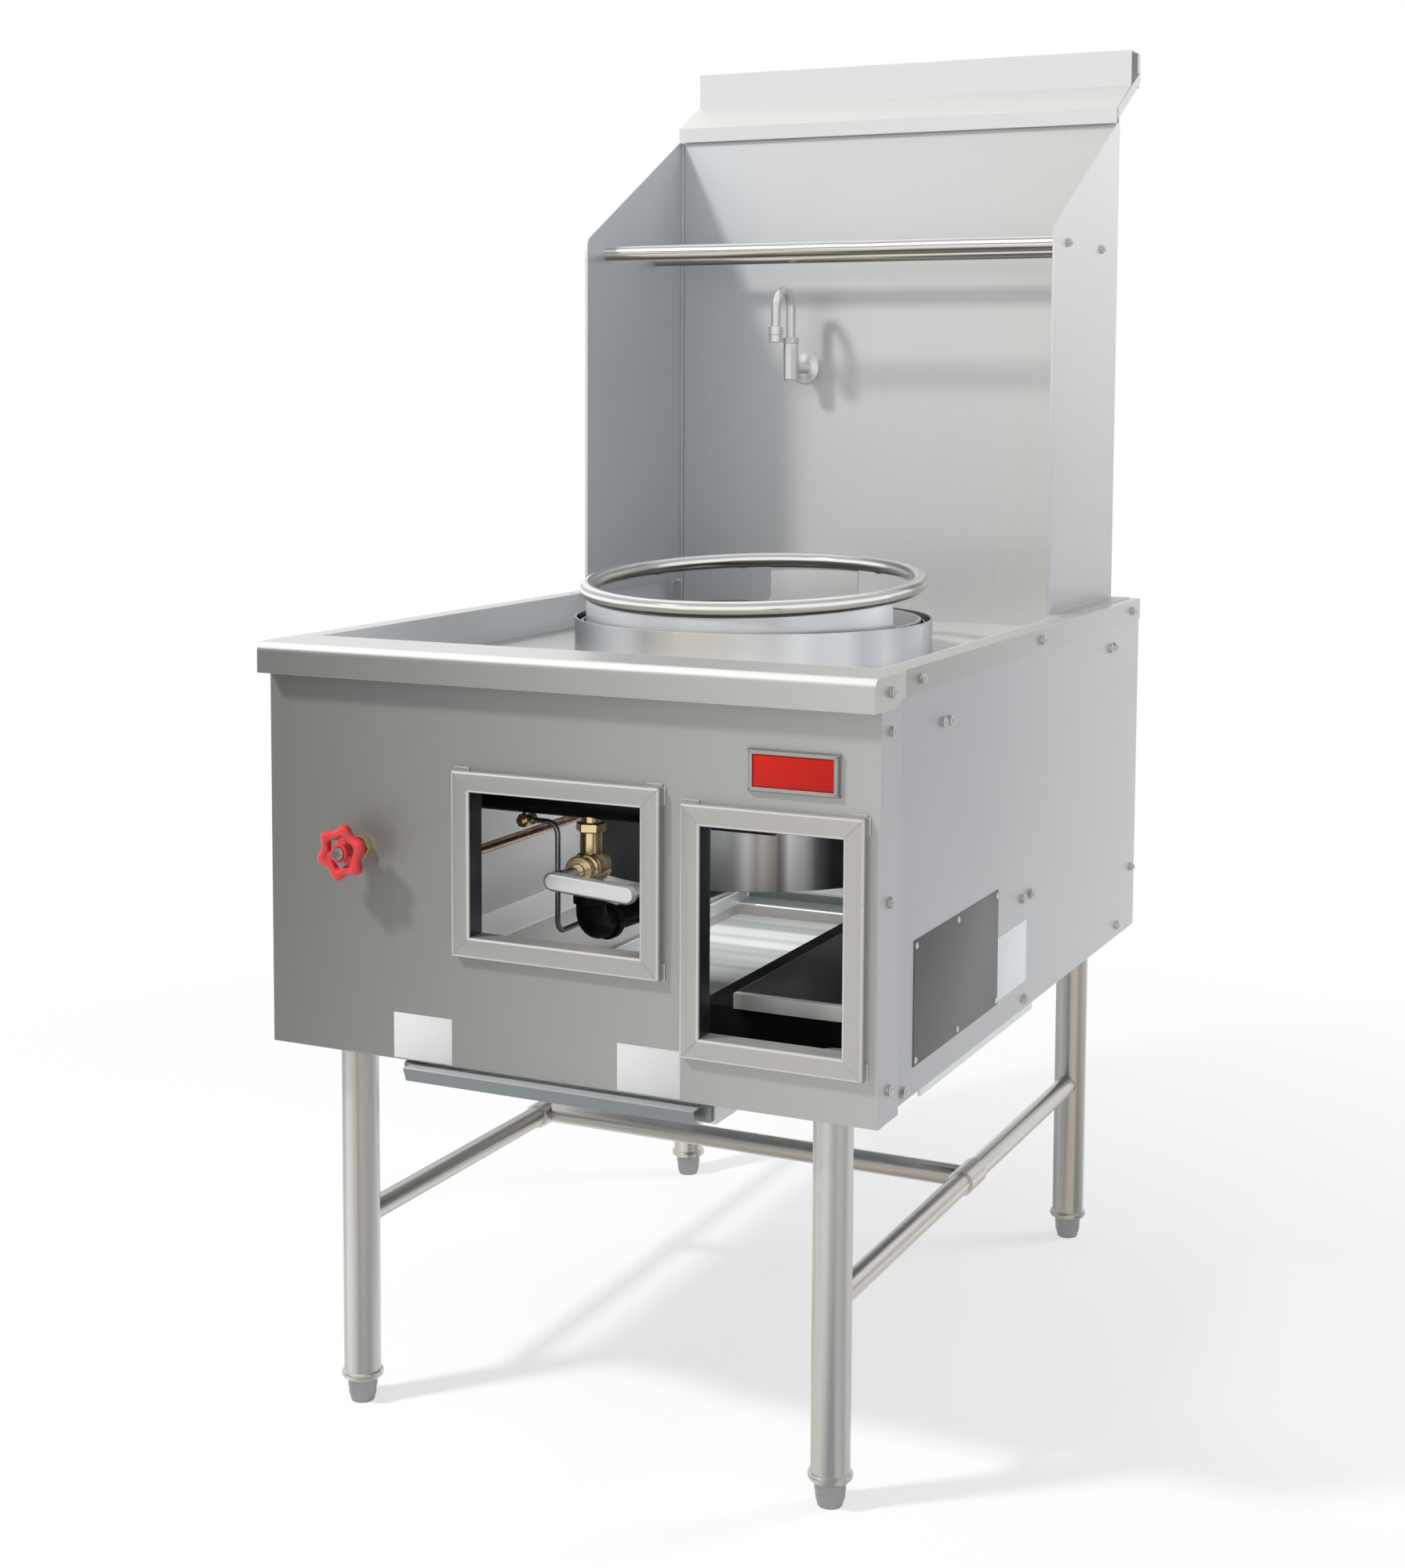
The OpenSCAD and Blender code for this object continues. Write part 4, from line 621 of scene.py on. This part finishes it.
def block(bm, low, high, round_by, mat=0):
    """A box with rounded edges."""
    corners = bmesh.ops.create_cube(bm, size=1.0)["verts"]
    low, high = at(*low), at(*high)
    for v in corners:
        v.co = Vector((low[i] if v.co[i] < 0 else high[i] for i in range(3)))
    faces = {f for v in corners for f in v.link_faces}
    edges = list(dict.fromkeys(e for v in corners for e in v.link_edges))
    done = bmesh.ops.bevel(bm, geom=edges, offset=round_by * MM, segments=2, profile=0.5, affect="EDGES")
    for f in faces | set(done["faces"]):
        if f.is_valid:
            f.material_index = mat


def arc(cx, cy, r, start, end, steps):
    """Points of a round stretch, from one angle in degrees to another."""
    turns = [math.radians(start + (end - start) * i / steps) for i in range(steps + 1)]
    return [(cx + r * math.cos(a), cy + r * math.sin(a)) for a in turns]


def skin(bm, loops, mat=0, marks=(), closed=False):
    """Faces between loops of as many points; the first and last are filled, or joined if closed.
    The sides of the loops listed in marks take another material: (from, to, material)."""
    n = len(loops[0])
    nexts = loops[1:] + loops[:1] if closed else loops[1:]
    for a, b in zip(loops, nexts):
        for i in range(n):
            f = bm.faces.new((a[i], a[(i + 1) % n], b[(i + 1) % n], b[i]))
            f.material_index = next((m for low, high, m in marks if low <= i < high), mat)
    if not closed:
        for loop in (loops[0], loops[-1]):
            bm.faces.new(loop).material_index = mat


def strip(bm, ends, place, section, mat=0, marks=()):
    """A closed section carried from end to end: place(u, v, end) puts one of its points, in millimetres."""
    loops = [[bm.verts.new(at(*place(u, v, end))) for u, v in section] for end in ends]
    skin(bm, loops, mat, marks)


def mitred(bm, opening, section, way, gaps, finishes):
    """Four members round an opening, mitred at its corners. They lie outside it where way is 1 and inside
    where way is -1. The gaps shorten the level and the upright ones, and each has its (material, marks)."""
    x0, x1, z0, z1 = opening
    level_gap, upright_gap = gaps
    bottom, top, left, right = finishes
    for z, out, finish in ((z0, -way, bottom), (z1, way, top)):
        strip(bm, ((x0, -1), (x1, 1)),
              lambda u, y, end: (end[0] + end[1] * (way * u - level_gap), y, z + out * u), section, *finish)
    for x, out, finish in ((x0, -way, left), (x1, way, right)):
        strip(bm, ((z0, -1), (z1, 1)),
              lambda u, y, end: (x + out * u, y, end[0] + end[1] * (way * u - upright_gap)), section, *finish)


# where a trim or a bezel ends, just before the front panel's face
BACK = -0.05


# Window trims: four folded members with tabs at their ends
def window_trim(name, opening, node):
    wide, face, deep, sheet, r, seam = 22.0, -10.0, 17.0, 1.5, 2.6, 0.14
    tab, tab_out, tab_under, tab_round = 18.0, 3.5, 1.0, 0.5
    # the rounded arrises take a painted highlight and the inner jamb a painted shade
    level, upright, arris, jamb = range(4)
    looks = [material("trim_steel", "x"), material("trim_steel", "z"), material("arris_highlight_steel"),
             material("jamb_shade_steel")]
    section = [(0, deep)] + arc(r, face + r, r, 180, 270, 4) + arc(wide - r, face + r, r, 270, 360, 4)
    section += [(wide, BACK), (wide - sheet, BACK), (wide - sheet, face + sheet), (sheet, face + sheet),
                (sheet, deep)]
    rounds = [(1, 5, arris), (6, 10, arris)]
    inner = rounds + [(0, 1, jamb)]
    bm = bmesh.new()
    mitred(bm, opening, section, 1, (seam, seam),
           [(level, rounds), (level, inner), (upright, inner), (upright, inner)])
    x0, x1, z0, z1 = opening
    left, right, low, high = x0 - wide, x1 + wide, z0 - wide, z1 + wide
    for x in (left, right - tab):
        block(bm, (x, -sheet, high - tab_under), (x + tab, 0, high + tab_out), tab_round, arris)
    for z in (low, high - tab):
        block(bm, (right - tab_under, -sheet, z), (right + tab_out, 0, z + tab), tab_round, arris)
    piece(name, bm, "counter", looks, 30, [node])


# a window's left, right, bottom and top
VALVE_WINDOW = (-100, 100, 564, 718)
TRAY_WINDOW = (167, 321, 489, 705)
window_trim("valve_trim_folded", VALVE_WINDOW, "valve_window_trim")
window_trim("tray_trim_folded", TRAY_WINDOW, "tray_window_trim")


# Badge, data plate and labels, all bare
def badge():
    x0, x1, z0, z1, proud = 217.0, 314.0, 744.0, 787.0, 6.0
    inset, field_proud, field_round, lap, seam = 5.6, 4.4, 0.3, 1.2, 0.2
    bezel = [(0, BACK), (0, -2.6), (0.5, -4.4), (1.6, -proud), (4.2, -proud), (5.0, 0.4 - proud),
             (5.4, -4.4), (5.8, -3.6), (5.8, BACK)]
    bright_inside = [(5, 7, 1)]
    bm = bmesh.new()
    mitred(bm, (x0, x1, z0, z1), bezel, -1, (-lap, seam), [(0, bright_inside)] * 4)
    piece("badge_bezel", bm, "counter", [material("bezel_steel"), material("chrome")], 30)
    bm = bmesh.new()
    block(bm, (x0 + inset, -field_proud, z0 + inset), (x1 - inset, BACK, z1 - inset), field_round)
    piece("badge_field", bm, "counter", [material("badge_red")], 30)


def labels():
    side, lift, thick, plate_thick, rivet_base = 355.0, 0.02, 0.35, 0.9, 0.85
    paper_round, plate_round = 0.12, 0.3
    front_low, front_high = 421.5, 471.0
    side_front, side_back, side_low, side_high = 369.5, 475.0, 459.0, 531.0
    plate_front, plate_back, plate_low, plate_high = 100.0, 369.0, 456.0, 586.0
    rivet_inset, rivet_middle = 6.0, 234.0
    rivet = [(3.6, 0), (3.5, 0.5), (2.6, 1.3), (1.2, 1.75), (0, 1.85)]
    for i, (x0, x1) in enumerate(((-199.7, -126.9), (70.5, 142.6))):
        bm = bmesh.new()
        block(bm, (x0, -thick, front_low), (x1, -lift, front_high), paper_round)
        piece("front_label_%d" % i, bm, "counter", [material("label_paper")], 30)
    bm = bmesh.new()
    block(bm, (side + lift, side_front, side_low), (side + thick, side_back, side_high), paper_round)
    piece("side_label", bm, "counter", [material("side_paper")], 30)
    bm = bmesh.new()
    block(bm, (side + lift, plate_front, plate_low), (side + plate_thick, plate_back, plate_high), plate_round)
    piece("data_plate", bm, "counter", [material("plate_etched")], 30)
    bm = bmesh.new()
    for y in (plate_front + rivet_inset, rivet_middle, plate_back - rivet_inset):
        for z in (plate_low + rivet_inset, plate_high - rivet_inset):
            lathe(bm, rivet, (side + rivet_base, y, z), "x", 20)
    piece("plate_rivets", bm, "counter", [material("bolt_steel")], 40)


badge()
labels()


# Hex nuts with rounded bolt ends, where the source has its bolt heads
def islands(mesh):
    """Lowest and highest corner, in millimetres of the row frame, of each separate solid of a mesh."""
    owner = list(range(len(mesh.vertices)))

    def find(i):
        while owner[i] != i:
            owner[i] = owner[owner[i]]
            i = owner[i]
        return i

    where = {}
    for v in mesh.vertices:
        spot = tuple(round(c, 5) for c in v.co)
        owner[find(v.index)] = find(where.setdefault(spot, v.index))
    for e in mesh.edges:
        owner[find(e.vertices[0])] = find(e.vertices[1])
    groups = {}
    for v in mesh.vertices:
        groups.setdefault(find(v.index), []).append(v.co)
    for pts in groups.values():
        low = Vector(min(p[i] for p in pts) for i in range(3))
        high = Vector(max(p[i] for p in pts) for i in range(3))
        yield low / MM, high / MM


def nuts():
    # radius, and height as a share of the bolt head's
    hexed = [(5.8, 0), (5.8, 0.12), (5.6, 0.2), (5.6, 0.56), (4.7, 0.68), (0, 0.68)]
    end = [(3.0, 0), (3.0, 0.8), (2.6, 0.92), (1.4, 0.99), (0, 1)]
    turn_step = 0.4
    bm = bmesh.new()
    for k, (low, high) in enumerate(islands(nodes["panel_bolts"].data)):
        outward = 1 if low.x > 0 else -1
        base = low.x if outward > 0 else high.x
        tall = high.x - low.x
        y, z = (low.y + high.y) / 2 + ORIGIN_Y, (low.z + high.z) / 2
        for shares, n in ((hexed, 6), (end, 20)):
            profile = [(r, outward * (tall * share)) for r, share in shares]
            lathe(bm, profile, (base, y, z), "x", n, turn_step * k)
    piece("panel_nuts", bm, "counter", [material("bolt_steel")], 25, ["panel_bolts"])


nuts()


# Handwheel: a knobbed casting on three spokes, and its nut
def fused(ob, voxel, rounds):
    """Remeshes overlapping forms into one smooth casting."""
    cast = ob.modifiers.new("skin", "REMESH")
    cast.mode = "VOXEL"
    cast.voxel_size = voxel * MM
    relax = ob.modifiers.new("relax", "SMOOTH")
    relax.factor = 0.5
    relax.iterations = rounds
    graph = bpy.context.evaluated_depsgraph_get()
    done = bpy.data.meshes.new_from_object(ob.evaluated_get(graph))
    ob.modifiers.clear()
    old = ob.data
    ob.data = done
    bpy.data.meshes.remove(old)
    for p in ob.data.polygons:
        p.use_smooth = True


def knobbed_rim(bm, x, y, z):
    around, section = 120, 18
    lobes, first_lobe, sharpness = 6, math.radians(20), 1.3
    # radius, half thickness and half depth between the lobes, and how much a lobe adds
    least_r, least_thick, least_deep = 19.6, 5.4, 5.2
    more_r, more_thick, more_deep = 4.6, 1.6, 1.5
    loops = []
    for i in range(around):
        a = 2 * math.pi * i / around
        lobe = (0.5 + 0.5 * math.cos(lobes * (a - first_lobe))) ** sharpness
        ring_r = least_r + more_r * lobe
        thick = least_thick + more_thick * lobe
        deep = least_deep + more_deep * lobe
        loop = []
        for j in range(section):
            b = 2 * math.pi * j / section
            r = ring_r + thick * math.cos(b)
            loop.append(bm.verts.new(at(x + r * math.cos(a), y + deep * math.sin(b), z + r * math.sin(a))))
        loops.append(loop)
    skin(bm, loops, closed=True)


def handwheel():
    x, y, z, hub_back, nut_y = -240.0, -37.5, 647.0, 1.0, -44.4
    hub = [(0, 6.0), (6.2, 6.0), (7.2, 7.4), (9.2, 7.4), (10.3, 6.0), (10.5, 1.0), (10.2, -7.0),
           (9.5, -19.5), (0, -20.4)]
    # a spoke's stations: radius, half width, front, back
    stations = ((7, 5.6, -3.2, 4.2), (13, 5.8, -2.8, 3.6), (20, 6.6, -3.8, 3.8))
    bm = bmesh.new()
    knobbed_rim(bm, x, y, z)
    lathe(bm, hub, (x, y + hub_back, z), "y", 40)
    for angle in (80, 200, 320):
        ux, uz = math.cos(math.radians(angle)), math.sin(math.radians(angle))

        def spoke(u, v, station):
            r, half, front, back = station
            depth = (back + front) / 2 + v * (back - front) / 2
            return x + ux * r - uz * u * half, y + depth, z + uz * r + ux * u * half

        strip(bm, stations, spoke, arc(0, 0, 1.0, 0, 330, 11))
    wheel = piece("handwheel_cast", bm, "water_wheel", [material("red_paint")], 60,
                  ["handwheel"])
    fused(wheel, voxel=0.7, rounds=6)
    washer = [(6.8, 0), (6.8, 0.8), (0, 0.8)]
    nut = [(5.2, 0.6), (5.6, 1.1), (5.6, 3.2), (5.0, 3.9), (0, 3.9)]
    stud = [(2.9, 3.6), (2.9, 4.9), (2.3, 5.4), (0, 5.5)]
    bm = bmesh.new()
    for profile, n, turn in ((washer, 28, 0.0), (nut, 6, 0.35), (stud, 24, 0.0)):
        lathe(bm, profile, (x, nut_y, z), "y", n, turn)
    piece("wheel_nut_turned", bm, "water_wheel", [material("bolt_steel")], 25, ["wheel_nut"])


handwheel()

# Gas valve: union nut, ribbed body and disc, with the lever in front
VALVE = (-40.0, 150.0, 616.0)


def valve_body():
    pipe = [(10.8, 49), (10.8, 59)]
    union = [(14.6, 39.1), (16.9, 40.4), (16.9, 48.8), (14.8, 50.0), (11.2, 50.0)]
    neck = [(12.0, 0), (12.4, 14), (12.6, 16), (12.6, 37.0), (12.2, 38.6), (13.0, 39.1), (13.0, 39.6)]
    foot = [(12.8, 0), (12.8, -14), (13.4, -16), (13.4, -22), (12.8, -24), (12.8, -30.9)]
    disc = [(6.2, 30.9), (15.2, 30.9), (16.3, 30.2), (16.5, 29.2), (16.5, 22.2), (15.6, 21.2),
            (12.6, 20.8), (12.6, 18.6), (16.2, 17.8), (17.6, 16.6), (17.6, 14.6), (16.4, 13.6),
            (16.4, 12.0), (18.2, 10.6), (19.0, 8.6), (19.0, -12.0), (18.0, -15.0), (15.0, -16.6),
            (15.0, -19.6), (13.4, -20.9), (0, -21.0)]
    bm = bmesh.new()
    for profile, axis, n, turn in ((pipe, "z", 40, 0.0), (union, "z", 6, 0.3), (neck, "z", 56, 0.0),
                                   (foot, "z", 48, 0.0), (disc, "y", 64, 0.0)):
        lathe(bm, profile, VALVE, axis, n, turn)
    piece("gas_valve_turned", bm, "counter", [material("brass")], 30, ["gas_valve_body"])


def valve_spindle():
    turned = [(0, -29), (5.9, -29), (5.9, 30.6), (5.9, 31.3), (7.6, 31.5), (8.2, 32.4), (8.2, 70.0),
              (9.4, 71.0), (9.8, 72.5), (9.8, 78.0), (8.8, 80.0), (0, 80.0)]
    bm = bmesh.new()
    lathe(bm, turned, VALVE, "y", 48)
    piece("gas_spindle_turned", bm, "lever", [material("chrome")], 30, ["gas_valve_spindle"])


def lever():
    length, half_high, front, back, r, hang = 89.0, 10.0, 58.0, 70.0, 3.6, math.radians(4)
    x, _, z = VALVE
    c, s = math.cos(hang), math.sin(hang)
    bm = bmesh.new()
    loops = []
    for inset, y in arc(r, front + r, r, 270, 180, 6) + arc(r, back - r, r, 180, 90, 6):
        h = half_high - inset
        outline = arc(0, 0, h, 90, 270, 20) + arc(length, 0, h, -90, 90, 20)
        loops.append([bm.verts.new(at(x + u * c + v * s, y, z - u * s + v * c)) for u, v in outline])
    skin(bm, loops)
    piece("gas_lever_rounded", bm, "lever", [material("lever_satin")], 50, ["gas_lever"])


valve_body()
valve_spindle()
lever()


# Under the counter: the shelf's black bracket, and sheets that close the gaps behind and left of the tray
def shelf_bracket():
    left, right, front, back = 121.0, 350.5, BRACKET_FRONT, 500.0
    top, flange_low, apron, sheet, round_by = 499.0, 433.0, 56.0, 2.5, 0.6
    folded = [(left, top - sheet), (left, top), (right, top), (right, flange_low),
              (right - sheet, flange_low), (right - sheet, top - sheet)]
    bm = bmesh.new()
    strip(bm, (front + sheet, back), lambda u, v, y: (u, y, v), folded)
    block(bm, (left, front, top - apron), (right, front + sheet, top), round_by)
    piece("shelf_bracket_folded", bm, "counter", [material("black_sheet")], 30,
          ["shelf_support"])


def tray_gap_strip():
    left, right, front, bend, back = -191.0, 171.0, 873.0, 909.0, 945.0
    low, high, sheet = 416.5, 430.0, 1.4
    section = [(front, low), (bend, low), (bend, high - sheet), (back, high - sheet), (back, high),
               (bend - sheet, high), (bend - sheet, low + sheet), (front, low + sheet)]
    bm = bmesh.new()
    strip(bm, (left, right), lambda u, v, x: (x, u, v), section)
    piece("tray_gap_strip", bm, "counter", [material("strip_steel")], 30)


def bottom_sheet():
    clear = 8.0
    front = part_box("leg_front_left")[1][1] / MM + ORIGIN_Y + clear
    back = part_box("leg_rear_left")[0][1] / MM + ORIGIN_Y - clear
    left, right, low, top, sheet = -345.0, -196.4, 420.0, 434.6, 1.4
    section = [(left, top - sheet), (left, top), (right, top), (right, low), (right - sheet, low),
               (right - sheet, top - sheet)]
    bm = bmesh.new()
    strip(bm, (front, back), lambda u, v, y: (u, y, v), section)
    piece("bottom_sheet_left", bm, "counter", [material("pan_steel")], 30)


shelf_bracket()
tray_gap_strip()
bottom_sheet()


# Tap: wall flange, body, aerator
def tap():
    x, wall, z, body_out, spout_out, outlet_rise = -125.0, 943.0, 1169.0, 52.0, 52.0, 50.0
    y = wall - body_out
    outlet = (x, y - spout_out, z + outlet_rise)
    chrome = [material("satin_chrome")]
    flange = [(8.2, 0.0), (22.0, 0.0), (22.0, 1.6), (20.6, 3.4), (15.0, 4.6), (12.6, 5.6), (10.5, 6.0),
              (8.2, 6.0)]
    bm = bmesh.new()
    lathe(bm, flange, (x, wall, z), "y", 56)
    piece("tap_flange_turned", bm, "counter", chrome, 30, ["tap_flange"])
    inlet = [(8.0, -74.0), (8.0, 36.0), (9.6, 38.0), (9.6, 42.0), (0, 44.0)]
    cast = [(0, -17.0), (8.6, -17.0), (9.8, -15.6), (10.0, 4.0), (10.4, 22.0), (10.2, 32.0), (9.4, 33.6),
            (0, 33.8)]
    gland = [(9.6, 33.6), (11.4, 34.6), (11.4, 40.8), (10.2, 41.9), (6.6, 41.9)]
    bm = bmesh.new()
    lathe(bm, inlet, (x, wall, z), "y", 40)
    lathe(bm, cast, (x, y, z), "z", 8, math.radians(22.5))
    lathe(bm, gland, (x, y, z), "z", 6, 0.25)
    piece("tap_body_cast", bm, "counter", chrome, 25, ["tap_body"])
    sleeve = [(5.1, -16.0), (8.4, -16.0), (9.2, -15.2), (9.2, -6.2), (8.9, -5.7), (9.9, -5.3), (9.95, -4.6),
              (9.95, 3.6), (9.2, 5.0), (7.4, 6.0), (6.55, 6.0)]
    screen = [(0, -14.4), (8.0, -14.4), (8.0, -13.0), (0, -13.0)]
    bm = bmesh.new()
    lathe(bm, sleeve, outlet, "z", 48)
    lathe(bm, screen, outlet, "z", 36)
    piece("aerator_turned", bm, "spout", chrome, 28, ["aerator"])


tap()


# Backsplash: end flanges of the top cap, seams in the corners
def cap_end_flanges():
    face, thick, chamfer_in, chamfer_down = 317.6, 1.3, 1.0, 0.5
    slope = ((935.0, 1508.0), (1040.0, 1566.0))
    upstand = ((1028.5, 1590.0), (1040.6, 1590.0))
    bm = bmesh.new()
    for out in (-1, 1):
        for ends, drop in ((slope, 15.0), (upstand, 26.0)):
            section = [(0, 0), (chamfer_in, 0), (thick, -chamfer_down), (thick, -drop), (0, -drop)]
            strip(bm, ends, lambda u, v, end: (out * face + out * u, end[0], end[1] + v), section)
    piece("cap_end_flanges", bm, "counter", [material("top_steel")], 30)


def splash_seams():
    x, y, low, high, r = 317.4, 942.9, 823.0, 1487.0, 3.6
    section = [(0, 0), (0, r)] + arc(r, r, r, 180, 270, 5)[1:]
    bm = bmesh.new()
    for out in (-1, 1):
        strip(bm, (low, high), lambda u, v, z: (out * x - out * u, y - v, z), section)
    piece("splash_seams", bm, "counter", [material("seam_steel")], 30)


cap_end_flanges()
splash_seams()


# Wok ring: weld tacks where the bar meets the skirt
def tacks():
    low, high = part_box("wok_ring_skirt")
    outer = (high[0] - low[0]) / 2 / MM
    lean, burner_y, ring_z, ring_r, below = math.radians(4.1), 491.15, 905.0, 201.5, 8.2
    # a tack is five beads in a row that get smaller and lie further out from its middle to its ends
    inset, step, size, flat, outward, smaller = 3.4, 0.016, 2.9, 0.9, 0.5, 0.45
    bm = bmesh.new()
    for angle in (28, 62, 118, 152, 200, 250, 290, 340):
        for k in range(-2, 3):
            b = math.radians(angle) + k * step
            r = outer - inset + outward * abs(k)
            bead = size - smaller * abs(k)
            x, y = r * math.cos(b), burner_y + r * math.sin(b)
            z = ring_z + ring_r * math.sin(b) * math.sin(lean) - below
            for v in bmesh.ops.create_icosphere(bm, subdivisions=2, radius=1.0)["verts"]:
                v.co = at(x + v.co.x * bead, y + v.co.y * bead, z + v.co.z * bead * flat)
    piece("ring_tacks", bm, "ring", [material("weld_bead")], 60)


tacks()


# Stage: floor, world, lamps and cards
def seen_rays(tree):
    """1 for rays from the camera, for mirrored ones and for those that pass through."""
    path = tree.nodes.new("ShaderNodeLightPath")
    total = path.outputs["Is Camera Ray"]
    for ray in ("Is Glossy Ray", "Is Transmission Ray"):
        n = tree.nodes.new("ShaderNodeMath")
        n.operation = "MAXIMUM"
        tree.links.new(total, n.inputs[0])
        tree.links.new(path.outputs[ray], n.inputs[1])
        total = n.outputs[0]
    return total


def world():
    """White where it is seen, and a softer light on the object."""
    lighting, seen = ((0.97, 0.985, 1.0, 1), 0.42), ((1, 1, 1, 1), 1.0)
    studio = bpy.data.worlds.new("studio")
    bpy.context.scene.world = studio
    studio.use_nodes = True
    tree = studio.node_tree
    tree.nodes.clear()
    mix = tree.nodes.new("ShaderNodeMixShader")
    out = tree.nodes.new("ShaderNodeOutputWorld")
    tree.links.new(seen_rays(tree), mix.inputs[0])
    for k, (colour, strength) in enumerate((lighting, seen)):
        sky = tree.nodes.new("ShaderNodeBackground")
        sky.inputs[0].default_value = colour
        sky.inputs[1].default_value = strength
        tree.links.new(sky.outputs[0], mix.inputs[1 + k])
    tree.links.new(mix.outputs[0], out.inputs[0])


def floor():
    """Pale floor that fades to white away from the object."""
    half, fade_from, fade_to, white_from = 40, 0.5, 2.0, 0.62
    bm = bmesh.new()
    bmesh.ops.create_grid(bm, x_segments=1, y_segments=1, size=half)
    ob = made_of("floor", bm)
    s = Shader("floor_pale")
    speck = s.noise(even(6), 4, 0.6)
    s.done(Base_Color=s.mix(speck, (0.90, 0.90, 0.895), (0.93, 0.93, 0.925)), Roughness=0.8)
    far = s.add("VectorMath", {0: s.coords}, operation="LENGTH").outputs["Value"]
    fade = s.times(s.spread(far, fade_from, fade_to, white_from, 1.0), seen_rays(s.tree))
    glow = s.add("Emission", {0: (1, 1, 1, 1), 1: 1.0})
    mix = s.add("MixShader", {0: fade, 1: s.bsdf.outputs[0], 2: glow.outputs[0]})
    s.tree.links.new(mix.outputs[0], s.tree.nodes["Material Output"].inputs[0])
    ob.data.materials.append(s.mat)


def lamp(name, place, target, size, watts, colour):
    """A round area lamp that isn't mirrored in the steel."""
    data = bpy.data.lights.new(name, "AREA")
    data.shape = "DISK"
    data.size = size
    data.energy = watts
    data.color = colour
    ob = bpy.data.objects.new(name, data)
    ob.location = place
    ob.rotation_euler = (Vector(target) - Vector(place)).to_track_quat("-Z", "Y").to_euler()
    ob.visible_glossy = False
    collection.objects.link(ob)


def card(name, start, end, low, high, colour, strength=1.0, lean=0.0):
    """A flag or a bright card beside the set, seen only in reflections; its top leans back by lean."""
    bm = bmesh.new()
    corners = [(*start, low), (*end, low), (end[0], end[1] + lean, high), (start[0], start[1] + lean, high)]
    bm.faces.new([bm.verts.new(c) for c in corners])
    ob = made_of(name, bm)
    s = Shader(name)
    weave = s.noise(even(40), 2, 0.5)
    s.done(Base_Color=(0, 0, 0), Roughness=1.0, Emission_Color=s.mix(weave, tint(colour, 0.94), colour),
           Emission_Strength=strength)
    ob.data.materials.append(s.mat)
    for ray in ("camera", "diffuse", "shadow", "volume_scatter", "transmission"):
        setattr(ob, "visible_" + ray, False)


world()
floor()
lamp("key", (-1.75, -2.15, 3.0), (0, -0.1, 0.85), 0.42, 130, (1.0, 0.985, 0.96))
lamp("fill", (2.8, 2.4, 1.9), (0.2, 0.1, 0.9), 1.4, 60, (0.96, 0.98, 1.0))
lamp("inside", (-0.12, 0.30, 0.75), (-0.05, -0.2, 0.45), 0.11, 4.0, (1.0, 0.99, 0.97))
lamp("inside_front", (0.22, -0.40, 0.775), (0.05, -0.15, 0.5), 0.07, 0.8, (1.0, 0.99, 0.97))
card("flag_left", (-2.7, -1.2), (-1.3, -2.7), 0.0, 0.9, (0.22, 0.22, 0.21))
card("shine", (-1.9, -2.0), (-1.5, -2.4), 2.8, 3.3, (1.0, 0.99, 0.97), 4.0, 0.2)
card("flag_right", (1.9, -2.9), (2.3, -2.6), 0.0, 1.2, (0.16, 0.16, 0.165))
card("flag_back", (2.6, 1.6), (2.0, 3.0), 0.0, 1.3, (0.5, 0.51, 0.53))
